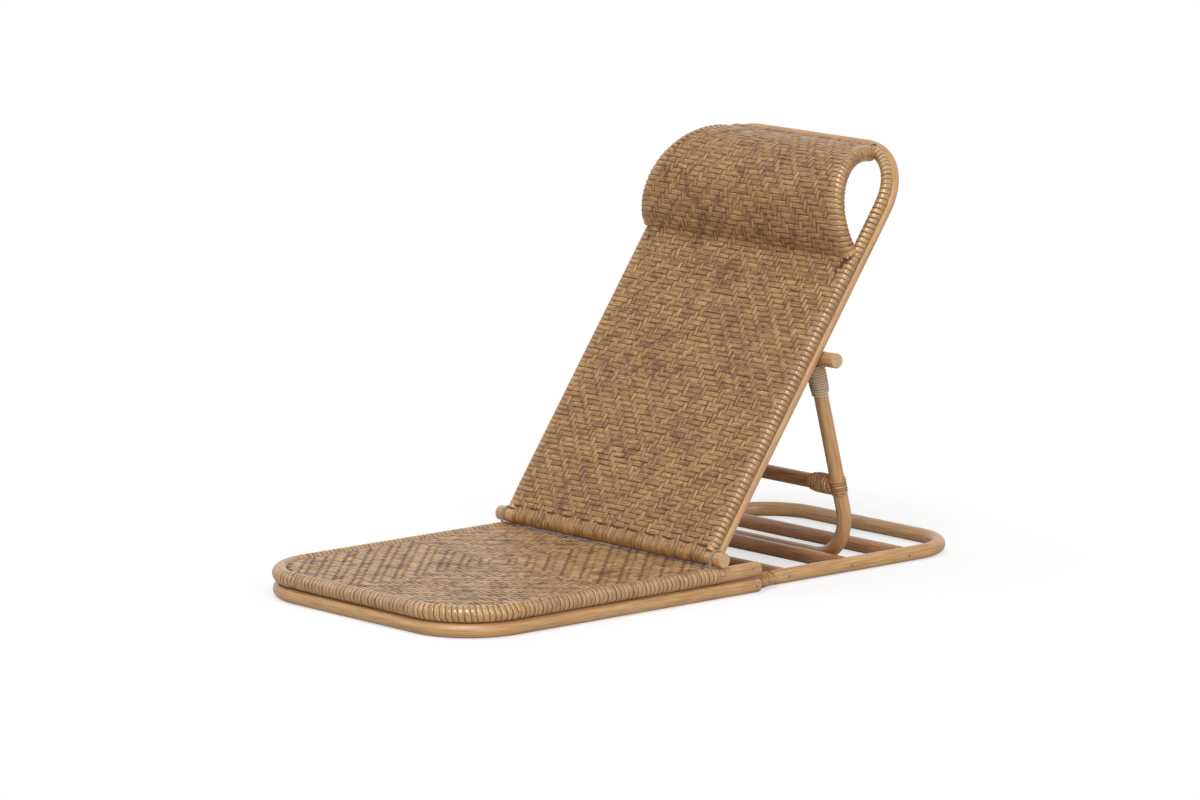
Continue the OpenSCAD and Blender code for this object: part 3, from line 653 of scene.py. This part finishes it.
def weaveStrips(sheet, look, rowEnds, colEnds, travelX, wrapAt):
    # strips of one direction; rows lie along X at steps of v, columns run along v
    rows = (look["rowStep"], look["middle"][0], range(*look["rowLines"]), rowEnds)
    cols = (look["colStep"], look["middle"][1], range(*look["colLines"]), colEnds)
    (spacing, first, lines, endsAt), cross = (rows, cols) if travelX else (cols, rows)
    step, middle, crossings = cross[:3]
    across, height = stripSection(look["width"] * spacing, look["thick"], look["crown"])
    parts = []
    for line in lines:
        here = first + line * spacing
        low, high = endsAt(here)
        if high - low < look["shortest"]:
            continue
        hem = (low + look["hemX"], high - look["hemX"]) if travelX else look["plain"]
        # three over and two under, one step on from line to line
        over = {k: ((abs(line) + abs(k)) % 5 < 3) == travelX
                for k in range(crossings.start - 3, crossings.stop + 3)}
        course = []
        tone, tilt = rng.random(), 0.0
        for k in range(crossings.start - 1, crossings.stop + 2):
            if over[k] != over[k - 1]:
                tone = look["toneKeep"] * tone + (1 - look["toneKeep"]) * rng.random()
                tilt = rng.normal(0, look["tilt"])
            level = 1.0 if over[k] else -1.0
            for m, share in floatShape:
                floats = over[k - 1 if m < 0 else k + 1] == over[k]
                if floats and m not in (-0.5, 0.0):
                    continue
                lift = level * (onward if floats and m else share)
                spot = middle + (k + m) * step
                if hem[0] <= spot <= hem[1]:
                    course.append((spot, lift, tone, tilt, 0.5 - lift / (2 * peak)))
                else:
                    course.append((spot, 0.0, tone, 0.0, look["wrapDive"]))
        spots, lifts, tones, tilts, dives = np.transpose(course)
        wrap = wrapAt(here) if wrapAt else None
        path, inner = stripPath(spots, lifts * look["lift"], low, high, wrap)
        if inner.sum() < 3:
            continue
        toneRow = np.interp(path[:, 0], spots, tones)
        tiltRow = np.interp(path[:, 0], spots, tilts) * inner
        dive = np.where(inner, np.interp(path[:, 0], spots, dives), look["wrapDive"])
        # a strip that ends without a wrap gets some painted shade at its cut ends
        if wrap is None:
            dive[[0, -1]] = look["endDive"]
        sway = rng.normal(0, look["sway"]) + look["sway"] * np.sin(
            path[:, 0] / look["swayRun"] + rng.random() * 6)
        way = unit(np.gradient(path, axis=0))
        along = path[:, :1] - way[:, 1:] * height[None, :]
        level = path[:, 1:] + way[:, :1] * height[None, :] + tiltRow[:, None] * across[None, :]
        if travelX:
            x, v = along, (here + sway)[:, None] + across[None, :]
        else:
            x, v = (here + sway)[:, None] - across[None, :], along
        points = sheet.place(sheet.at(x, v, level))
        wound = np.where(inner | (wrap is None), 0.0, 1.0)
        # wound parts get a wider band of painted shade along their edges
        rims = stripEdge[None, :] * np.where(wound > 0, look["wrapRimShade"], 1.0)[:, None]
        # seen from behind, the strip that lies low in front is the near one, so the painted shade of
        # the dips turns round there
        behindDive = np.where(inner & (dive > look["wrapDive"]), 1.0 - dive, dive)
        dives = np.where(height[None, :] >= 0.0, dive[:, None], behindDive[:, None])
        parts.append(stripPart(points, across, line * look["fibreShift"], walk(path)[0][:, None], {
            "tone": toneRow[:, None], "edge": rims, "dive": dives, "wrap": wound[:, None]}))
    return parts


def makeMat(name, body, finish, node, sheet, look, ends, rowWrap, colWrap=None):
    # wefts lie along X, warps run along the profile
    for kind, travelX, wrapAt in (("_wefts", True, rowWrap), ("_warps", False, colWrap)):
        makePiece(name + kind, body, finish, [node],
                  weaveStrips(sheet, look, *ends, travelX, wrapAt))


def arcPoints(centre, radius, start, end, count=24):
    angles = np.radians(np.linspace(start, end, count))
    return [(centre[0] + radius * math.cos(a), centre[1] + radius * math.sin(a)) for a in angles]


seatWeave = dict(cane, lift=1.05, thick=0.9, colStep=9.0, rimX=255.0, rimY=-554.2, cornerR=100.0,
                 mid=48.0, middleX=-20.0, middleY=-245.15, rearWrap=(10.75, 85, -170), dip=18.0,
                 frontHem=-554.0, rearHem=6.0, firstRow=4, lastRow=-6, wrapEnd=-22.0, clear=2,
                 rowLines=(-36, 30), colLines=(-30, 34))
seatStart = -590.0
seatFlat = rearBar["y"] - seatStart
seatSheet = Sheet([(seatStart, seatWeave["mid"]), (rearBar["y"] - seatWeave["dip"], seatWeave["mid"])]
                  + arcPoints((rearBar["y"], rearBar["z"]), *seatWeave["rearWrap"]), onFloor)
seatWeave["plain"] = (seatWeave["frontHem"] - seatStart, seatFlat - seatWeave["rearHem"])
seatWeave["middle"] = (seatWeave["middleY"] - seatStart, seatWeave["middleX"])


def roundCorner(into):
    # how far the mat's round corner stands back, into millimetres before its edge
    r = seatWeave["cornerR"]
    return 0.0 if into <= 0 else r - math.sqrt(max(0.0, r * r - into * into))


def seatRowEnds(v):
    y = v + seatStart
    if y < seatWeave["rimY"] + seatWeave["firstRow"] or y > seatWeave["lastRow"]:
        return 0.0, 0.0
    reach = seatWeave["rimX"] - roundCorner(seatWeave["rimY"] + seatWeave["cornerR"] - y)
    return -reach, reach


def seatRowWrap(v):
    # the wefts wrap the side poles, except at the round corners and behind the hinge
    y = v + seatStart
    if frontY + seatBend < y < seatWeave["wrapEnd"]:
        return dict(seatWrap, reach=seatX - seatWeave["rimX"])
    return None


def seatColWrap(x):
    # the warps wrap the front pole where it is straight
    if abs(x) < seatX - seatBend:
        return dict(seatWrap, reach=seatWeave["rimY"] - frontY, only=-1)
    return None


def seatColEnds(x):
    if abs(x) > seatWeave["rimX"] - seatWeave["clear"]:
        return 0.0, 0.0
    y = seatWeave["rimY"] + roundCorner(abs(x) - (seatWeave["rimX"] - seatWeave["cornerR"]))
    return y - seatStart, seatSheet.length - 1.0


makeMat("seat", "base", "seat", "seat_mat", seatSheet, seatWeave, (seatRowEnds, seatColEnds),
        seatRowWrap, seatColWrap)

edgeWrap = {"pitch": 9.2, "width": 8.7, "thick": 0.8, "crown": 0.34, "top": 13.7, "sway": 0.15,
            "liftVary": 0.05, "sink": 0.02, "fibreShift": 7.3}
# at the corners, and beside the hinge, the cane is wound round the pole by itself
straight = tailY - frontY - seatBend
corner = seatBend * math.pi / 2
whole = topRoute.length
hingeFrom, hingeTo = tailY + 16.0, tailY + 24.0
wound = [(straight, straight + corner), (whole - straight - corner, whole - straight),
         (hingeFrom, hingeTo), (whole - hingeTo, whole - hingeFrom)]
makePiece("seat_edge_wrap", "base", "edge", ["seat_mat"],
          [windStrip(topRoute, edgeWrap, first, last) for first, last in wound])
print("Seat made")

# Rear rack: a bent pole, slimmer where its bindings go round it
rack = {"front": -57.15, "rear": 567.35, "bendR": 105.0, "neckR": 9.9, "neck": (130.0, 186.0),
        "step": 2.5}
rackRoute = loopRoute(rackX, rack["front"], rack["rear"], lowZ, rack["bendR"])
neckIn, neckOut = rack["neck"]
halfRadii = [(0, 10), (1, 11.75), (rack["step"], poleR), (neckIn - rack["step"], poleR),
             (neckIn, rack["neckR"]), (neckOut - rack["step"], rack["neckR"]), (neckOut, poleR)]
makePiece("rack_pole", "base", "pole", ["rear_loop"],
          poleTube(rackRoute, bothEnds(halfRadii, rackRoute.length)))

slats = {"slat_front": 153.85, "slat_middle": 294.85, "slat_rear": 428.85}
slat = {"r": 12.4, "hollowR": 12.6, "spare": 3}
for slatName, y in slats.items():
    parts = evenTube(crossRoute(rackX - slat["hollowR"] + slat["spare"], y, lowZ), slat["r"])
    for points, faces, mark, sharp in parts:
        # ends hollowed to sit on the rack's side poles
        depth = np.sqrt(np.maximum(0, slat["hollowR"] ** 2 - (points[:, 2] - lowZ) ** 2))
        points[:, 0] = np.clip(points[:, 0], depth - rackX, rackX - depth)
    makePiece(slatName + "_pole", "base", "slat", [slatName], parts)

nail = {"r": 2.7, "dome": 0.5, "sink": 1.5, "sides": 16, "slatOut": 12.35}
# how far out, the place along the lounger, the height, and how much the head looks up
frameNails = ((12.3, 56.85, lowZ, 0), (11.6, 48.85, 42.3, 0.28))
makePiece("slat_nail_heads", "base", "nail", ["slat_nails"],
          [nailHead((side * (rackX + nail["slatOut"]), y, lowZ), (side, 0, 0), nail)
           for y in slats.values() for side in (-1, 1)])
makePiece("frame_nail_heads", "base", "nail", ["frame_nails"],
          [nailHead((side * (seatX + out), y, z), (side, 0, up), nail)
           for side in (-1, 1) for out, y, z, up in frameNails])


def bandPoint(angle, x, r0, r1):
    # point on a band drawn tight round two poles that lie x apart: 120 degrees of its turn
    # go round each pole, and 60 over each of the straights between them
    m = (math.degrees(angle) + 60) % 360 - 60
    t = math.acos((r0 - r1) / x)
    flip = -1 if m > 180 else 1
    if m < 60:
        q = t * m / 60
        return x + r1 * math.cos(q), r1 * math.sin(q)
    if 120 < m < 240:
        q = t + (2 * math.pi - 2 * t) * (m - 120) / 120
        return r0 * math.cos(q), r0 * math.sin(q)
    k = (m - 240) / 60 if m > 180 else (120 - m) / 60
    near = (r0 * math.cos(t), flip * r0 * math.sin(t))
    far = (x + r1 * math.cos(t), flip * r1 * math.sin(t))
    return near[0] + k * (far[0] - near[0]), near[1] + k * (far[1] - near[1])


hands = ((-1, "left"), (1, "right"))
binding = {"turns": 15, "steps": 40, "from": 77.85, "to": 121.85, "cordR": 1.25, "lift": 1.3}
for side, label in hands:
    centre = []
    for i in range(binding["turns"] * binding["steps"] + 1):
        f = i / (binding["turns"] * binding["steps"])
        y = binding["from"] + (binding["to"] - binding["from"]) * f
        share = (y - tailY + seatCut) / tongue["length"]
        x, tipR = (first + (last - first) * share
                   for first, last in (tongue["offsets"], tongue["radii"]))
        px, pz = bandPoint(2 * math.pi * i / binding["steps"], x,
                           rack["neckR"] + binding["lift"], tipR + binding["lift"])
        centre.append((side * (rackX + px), y, lowZ + pz))
    makePiece("rack_binding_" + label, "base", "bind", ["loop_binding_" + label],
              [cordTube(np.array(centre), binding["cordR"], onFloor, axis=(0, 1, 0))])

tie = {"r": 1.3, "bend": 14.1, "endZ": 30.9, "x": (263.5, 260.6)}
hy, hz = hinge[1:]
for side, label in hands:
    parts = []
    for x in tie["x"]:
        line = [(side * x, hy - tie["bend"], z) for z in np.linspace(tie["endZ"], hz, 8)]
        line += [(side * x, hy - tie["bend"] * math.cos(a), hz + tie["bend"] * math.sin(a))
                 for a in np.linspace(0, math.pi, 25)[1:-1]]
        line += [(side * x, hy + tie["bend"], z) for z in np.linspace(hz, tie["endZ"], 8)]
        parts.append(cordTube(np.array(line), tie["r"], onFloor, 10, (1, 0, 0)))
    makePiece("tie_cord_" + label, "base", "tie", ["hinge_tie_" + label], parts)
print("Rack made")

# Backrest frame: two bent poles one behind the other, between the hinge bar and the upper bar
hingeHalf = 282.5
makePiece("hinge_pole", "backrest", "pole", ["hinge_bar"],
          poleTube(crossRoute(hingeHalf, 0, 0, onBack), chamfered(2 * hingeHalf, poleR, barCut)))

matFrame = {"n": 7.2, "top": 763.0, "bendR": 100.0, "start": 9.0, "wrapFrom": 564.5}
slim = {"n": -11.0, "top": 778.0, "bendR": 115.0, "start": 7.0}
frameRoute, slimRoute = (
    loopRoute(backX, look["start"], look["top"], look["n"], look["bendR"], onBack)
    for look in (matFrame, slim))
makePiece("wrapped_pole", "backrest", "pole", ["mat_frame"], evenTube(frameRoute, slimR))
makePiece("slim_pole", "backrest", "pole", ["slim_frame"], evenTube(slimRoute, slimR))

upperRoute = crossRoute(upperBar["half"], upperBar["s"], upperBar["n"], onBack)
makePiece("upper_pole", "backrest", "pole", ["upper_bar"],
          poleTube(upperRoute, chamfered(upperRoute.length, poleR, barCut)))

# Cheek poles: parts of circles in planes that lean in towards the top
cheek = {"neckX": 242.0, "neckS": 577.0, "crownX": 175.0, "crownS": 752.0, "r": 114.5,
         "neckN": 37.0, "crownN": 13.0, "tails": (12.0, 2.0)}
lean = math.atan2(cheek["neckX"] - cheek["crownX"], cheek["crownS"] - cheek["neckS"])
cheekRun = (cheek["crownS"] - cheek["neckS"]) / math.cos(lean)
drop = cheek["crownN"] - cheek["neckN"]
chordTilt = math.atan2(drop, cheekRun)
halfTurn = math.asin(math.hypot(cheekRun, drop) / 2 / cheek["r"])
depth = cheek["r"] * math.cos(halfTurn)
cheekC = (cheekRun / 2 + depth * math.sin(chordTilt),
          (cheek["neckN"] + cheek["crownN"]) / 2 - depth * math.cos(chordTilt))


def cheekRoute(side, tailNeck, tailCrown, step=2.0):
    # the circle's own plane has one way along the lean and one to the front
    first = np.array([-side * math.sin(lean), math.cos(lean), 0.0])
    second = np.array([0.0, 0.0, 1.0])
    centre = (np.array([side * cheek["neckX"], cheek["neckS"], 0.0])
              + cheekC[0] * first + cheekC[1] * second)
    mid = 90 + math.degrees(chordTilt)
    half = math.degrees(halfTurn)
    start, end = mid + half + tailNeck, mid - half - tailCrown
    count = int(abs(math.radians(end - start)) * cheek["r"] / step) + 1
    angles = np.radians(np.linspace(start, end, count + 1))[:, None]
    points = centre + cheek["r"] * np.cos(angles) * first + cheek["r"] * np.sin(angles) * second
    return Route(points, (side * math.cos(lean), math.sin(lean), 0.0), onBack)


for side, label in hands:
    makePiece("cheek_pole_" + label, "backrest", "pole", ["cheek_" + label],
              evenTube(cheekRoute(side, *cheek["tails"]), poleR))
print("Backrest frame made")

# Back mat
backWeave = dict(cane, colStep=8.6, mid=15.0, rimX=240.5, warpX=240, rows=(15, 556),
                 middleS=276.0, middleX=-1.5, flat=50.0, top=562.0, lead=(49.5, 1.8), hem=12.0,
                 rowLines=(-34, 32), colLines=(-28, 29))
backSheet = Sheet(arcPoints((0.0, 0.0), wrapR, 190, 88, 40)
                  + [(backWeave["flat"], backWeave["mid"]), (backWeave["top"], backWeave["mid"])],
                  onBack)
# length along the sheet at which the hinge's own place lies
backZero = (backSheet.length - (backWeave["top"] - backWeave["flat"])
            - math.hypot(*backWeave["lead"]))
backWeave["plain"] = (backZero + backWeave["hem"], math.inf)
backWeave["middle"] = (backWeave["middleS"] + backZero, backWeave["middleX"])


def backRowEnds(v):
    first, last = backWeave["rows"]
    reach = backWeave["rimX"] if first < v - backZero < last else 0.0
    return -reach, reach


def backRowWrap(v):
    return dict(sideWrap, reach=backX - backWeave["rimX"])


def backColEnds(x):
    return (0.0, backSheet.length) if abs(x) < backWeave["warpX"] else (0.0, 0.0)


makeMat("back", "backrest", "mat", "back_mat", backSheet, backWeave, (backRowEnds, backColEnds),
        backRowWrap)

slimWrap = dict(edgeWrap, top=9.65)
whole = frameRoute.length
topRun = (matFrame["wrapFrom"] - matFrame["start"],
          matFrame["top"] - matFrame["start"] - matFrame["bendR"] * (1 - math.pi / 2))
makePiece("frame_wrap_strip_right", "backrest", "edge", ["frame_wrap_right"],
          [windStrip(frameRoute, slimWrap, *topRun)])
makePiece("frame_wrap_strip_left", "backrest", "edge", ["frame_wrap_left"],
          [windStrip(frameRoute, slimWrap, whole - topRun[1], whole - topRun[0])])
print("Back mat made")

# Headrest
headWeave = dict(cane, colStep=8.6, hemS=505.0, hemN=18.1, offset=11.6, plainFrom=6.0,
                 crownR=9.15, hemHalf=231.0, neckHalf=238.0, inset=9.0, bent=10.0,
                 arcTo=62.0, arcCount=60, hemDrop=1.6, hemRun=14.0, lead=6.0,
                 rowLines=(24, 62), colLines=(-28, 29))
headR = cheek["r"] + headWeave["offset"]
circleS = cheek["neckS"] + cheekC[0] * math.cos(lean)
hemS, hemN = headWeave["hemS"], headWeave["hemN"]
startA = -math.degrees(math.acos((hemN - cheekC[1]) / headR))
headArc = [(circleS + headR * math.sin(a) * math.cos(lean), cheekC[1] + headR * math.cos(a))
           for a in np.radians(np.linspace(startA, headWeave["arcTo"], headWeave["arcCount"]))]
arcAlong = headArc[0][0] - hemS
# flat behind the back mat, then over the cheek poles, then round the top of the frame
headProfile = [(hemS, hemN - headWeave["hemDrop"]), (hemS + headWeave["hemRun"], hemN),
               (headArc[0][0] - headWeave["lead"], hemN), *headArc[1:]]
crownAt = len(headProfile)
headSheet = Sheet(headProfile + arcPoints((matFrame["top"], matFrame["n"]), headWeave["crownR"],
                                          70, -185, 26), onBack)
headTop = float(np.interp(headArc[-1][0], headSheet.profile[:crownAt, 0],
                          headSheet.along[:crownAt]))
headWeave["middle"] = (backWeave["middleS"] - hemS, backWeave["middleX"])
headWeave["plain"] = (headWeave["plainFrom"], headTop - 2.0)


def cheekX(s):
    share = (s - cheek["neckS"]) / (cheek["crownS"] - cheek["neckS"])
    return cheek["neckX"] + share * (cheek["crownX"] - cheek["neckX"])


def headHalf(v):
    # half of the mat's width
    s = np.interp(v, headSheet.along, headSheet.profile[:, 0])
    if v < arcAlong + headWeave["bent"]:
        return headWeave["hemHalf"] if v < arcAlong - 12.0 else headWeave["neckHalf"]
    return cheekX(circleS + (s - circleS) * cheek["r"] / headR) - headWeave["inset"]


def headRowEnds(v):
    if v < headWeave["plainFrom"] or v > headTop:
        return 0.0, 0.0
    return -headHalf(v), headHalf(v)


def headRowWrap(v):
    if not arcAlong + headWeave["bent"] < v < headTop:
        return None
    # the wefts cross the leaning cheek poles on the slant, so the wrap is an ellipse
    angle = math.radians(startA) + (v - arcAlong) / headR
    slant = math.cos(angle) * math.sin(lean)
    return dict(cheekWrap, reach=headWeave["inset"], stretch=1 / math.sqrt(1 - slant ** 2))


def headColEnds(x):
    lengths = np.linspace(0, headSheet.length, 400)
    inside = [v for v in lengths if headHalf(v) > abs(x) - 3] or [0.0]
    return inside[0], inside[-1]


makeMat("head", "backrest", "mat", "head_mat", headSheet, headWeave, (headRowEnds, headColEnds),
        headRowWrap)


def backNails(spots):
    # how far beyond the frame's side, the place up the back and off it, and the way it looks
    return [nailHead(onBack([side * (backX + out), up, off]),
                     onBack(way) - onBack([0, 0, 0]), nail)
            for side in (-1, 1) for out, up, off, way in spots]


makePiece("bar_nail_heads", "backrest", "nail", ["bar_nails"],
          backNails([(0, upperBar["s"], slim["n"] + 8.2, (0, 0, 1))]))
makePiece("hinge_nail_heads", "backrest", "nail", ["hinge_nails"],
          backNails([(0, -12.2, 3.0, (0, -1, 0)), (6, 7.0, -18.0, (0, 0, -1))]))
print("Headrest made")

# Prop
prop = {"topX": 223.0, "spread": 7.9, "bendR": 97.0, "crossbar": 230.0, "legTop": 14.5}
legTilt = math.atan2(prop["spread"], propLength)


def legX(down):
    return prop["topX"] + down * math.tan(legTilt)


legTop = prop["legTop"]
propCorners = [(side * legX(down), 0, -down) for side, down in (
    (1, legTop), (1, propLength), (-1, propLength), (-1, legTop))]
propRoute = Route(bend(propCorners, prop["bendR"]), (0, -1, 0), onProp)
# the core under each winding: places along the pole and its radius there
legCore = [(legTop, poleR), (24, 14.2), (48, 14.2), (66, poleR)]
propRadii = bothEnds([(h - legTop, r) for h, r in legCore], propRoute.length)
parts = poleTube(propRoute, propRadii)
# strap of each leg, round the upper bar: corners of its section as (across, radius)
section = ((-6.0, 15.2), (-5.0, 15.6), (5.0, 15.6), (6.0, 15.2), (6.0, 12.85), (-6.0, 12.85))
cols, sides = len(section), 40
turns = roundAngles(sides)
faces = [[i * cols + j, i * cols + (j + 1) % cols, (i + 1) % sides * cols + (j + 1) % cols,
          (i + 1) % sides * cols + j] for i in range(sides) for j in range(cols)]
fibre = np.array([(dx, 0, r * t) for t in turns for dx, r in section])
for side in (-1, 1):
    rings = np.array([(side * prop["topX"] + dx, r * math.cos(t), r * math.sin(t))
                      for t in turns for dx, r in section])
    parts.append((onProp(rings), faces, {"fibre": fibre, "tone": 0.5}, [False] * len(faces)))
makePiece("prop_pole", "prop", "prop", ["prop_frame"], parts)

bar = {"swellR": 15.2, "swell": 34, "slope": 52, "spare": 3}
barCore = [(0, bar["swellR"]), (bar["swell"], bar["swellR"]), (bar["slope"], poleR)]
barHalf = legX(prop["crossbar"]) - poleR
barRoute = crossRoute(barHalf + bar["spare"], 0, -prop["crossbar"], onProp)
barRadii = bothEnds([(h + bar["spare"] * (h > 0), r) for h, r in barCore], barRoute.length)
makePiece("prop_bar", "prop", "slat", ["prop_crossbar"], poleTube(barRoute, barRadii))

lashing = {"cordR": 1.7, "turns": 11, "gap": -0.9, "from": 17.0, "to": 66.0, "sway": 0.25}
legCane = {"cordR": 1.5, "turns": 6, "gap": -0.9, "from": -14.0, "to": 14.0, "sway": 0.0}
barCane = {"cordR": 1.5, "turns": 10, "gap": -0.9, "from": 2.0, "to": 50.0, "sway": 0.0}


def onLeg(side, shift=0.0):
    # local Z runs down the leg from the upper bar
    def place(points):
        points = np.asarray(points, float)
        down = points[..., 2] + shift
        x = prop["topX"] + points[..., 0] * math.cos(legTilt) + down * math.sin(legTilt)
        z = -down * math.cos(legTilt) + points[..., 0] * math.sin(legTilt)
        return onProp(np.stack([side * x, points[..., 1], z], -1))
    return place


def onBar(side):
    def place(points):
        points = np.asarray(points, float)
        x = side * (legX(prop["crossbar"]) - poleR - points[..., 2])
        return onProp(np.stack([x, points[..., 1], -prop["crossbar"] + points[..., 0]], -1))
    return place


for side, label in hands:
    makePiece("leg_twine_" + label, "prop", "twine", ["leg_lashing_" + label],
              [windCord(onLeg(side), legCore, lashing)])
    makePiece("leg_band_" + label, "prop", "bind", ["leg_cane_" + label],
              [windCord(onLeg(side, prop["crossbar"]), [(0, poleR)], legCane)])
    makePiece("bar_band_" + label, "prop", "bind", ["bar_cane_" + label],
              [windCord(onBar(side), barCore, barCane)])
print("Prop made")

# Floor, world and lights
studio = {"floorHalf": 40.0, "floorZ": -0.0005, "worldLight": 0.5, "glow": 0.6, "glowStrength": 1.02,
          "backdrop": 0.5, "glint": 5.0}
white = (1.0, 1.0, 1.0)
floorMesh = bpy.data.meshes.new("floor")
half = studio["floorHalf"]
corners = ((-half, -half), (half, -half), (half, half), (-half, half))
floorMesh.from_pydata([(x, y, studio["floorZ"]) for x, y in corners], [], [(0, 1, 2, 3)])
floor = addObject("floor", floorMesh)
floorMaterial, wire = newMaterial("floor")
path = wire.node("ShaderNodeLightPath")
matt = wire.node("ShaderNodeBsdfDiffuse", {}, {"Color": path.between((0.62, 0.61, 0.60), white)})
glow = wire.node("ShaderNodeEmission", {}, {"Color": white, "Strength": studio["glowStrength"]})
closeTree(wire, wire.node("ShaderNodeMixShader", {}, {0: path * studio["glow"], 1: matt, 2: glow}))
floorMesh.materials.append(floorMaterial)

world = bpy.data.worlds.new("studio")
world.use_nodes = True
world.node_tree.nodes.clear()
wire = Wire(world.node_tree)
path = wire.node("ShaderNodeLightPath")
# mirrored rays see a bright backdrop behind the lounger and a lamp above it
glossRay = Wire(path.tree, path.socket.node.outputs[3])
aim = wire.node("ShaderNodeTexCoord")
backdrop = aim.toward((-0.74, 0.65, 0.1)).rise(0.55, 0.95) * glossRay * studio["backdrop"]
glint = aim.toward((0.4, -0.6, 0.7)).rise(0.94, 0.98) * glossRay * studio["glint"]
strength = path * (1.0 - studio["worldLight"]) + studio["worldLight"] + backdrop + glint
closeTree(wire, wire.node("ShaderNodeBackground", {}, {"Color": white, "Strength": strength}),
          "ShaderNodeOutputWorld")
bpy.context.scene.world = world

for name, strength, angle, direction in (
        ("keyLight", 1.3, 25.0, (0.35, -0.45, 1.0)),
        ("sideLight", 1.2, 50.0, (1.0, -0.2, 0.3)),
        ("fillLight", 0.4, 60.0, (-0.7, -0.6, 0.8))):
    lamp = bpy.data.lights.new(name, "SUN")
    lamp.energy = strength
    lamp.angle = math.radians(angle)
    addObject(name, lamp).rotation_euler = Vector(direction).to_track_quat("Z", "Y").to_euler()
print("Studio made")
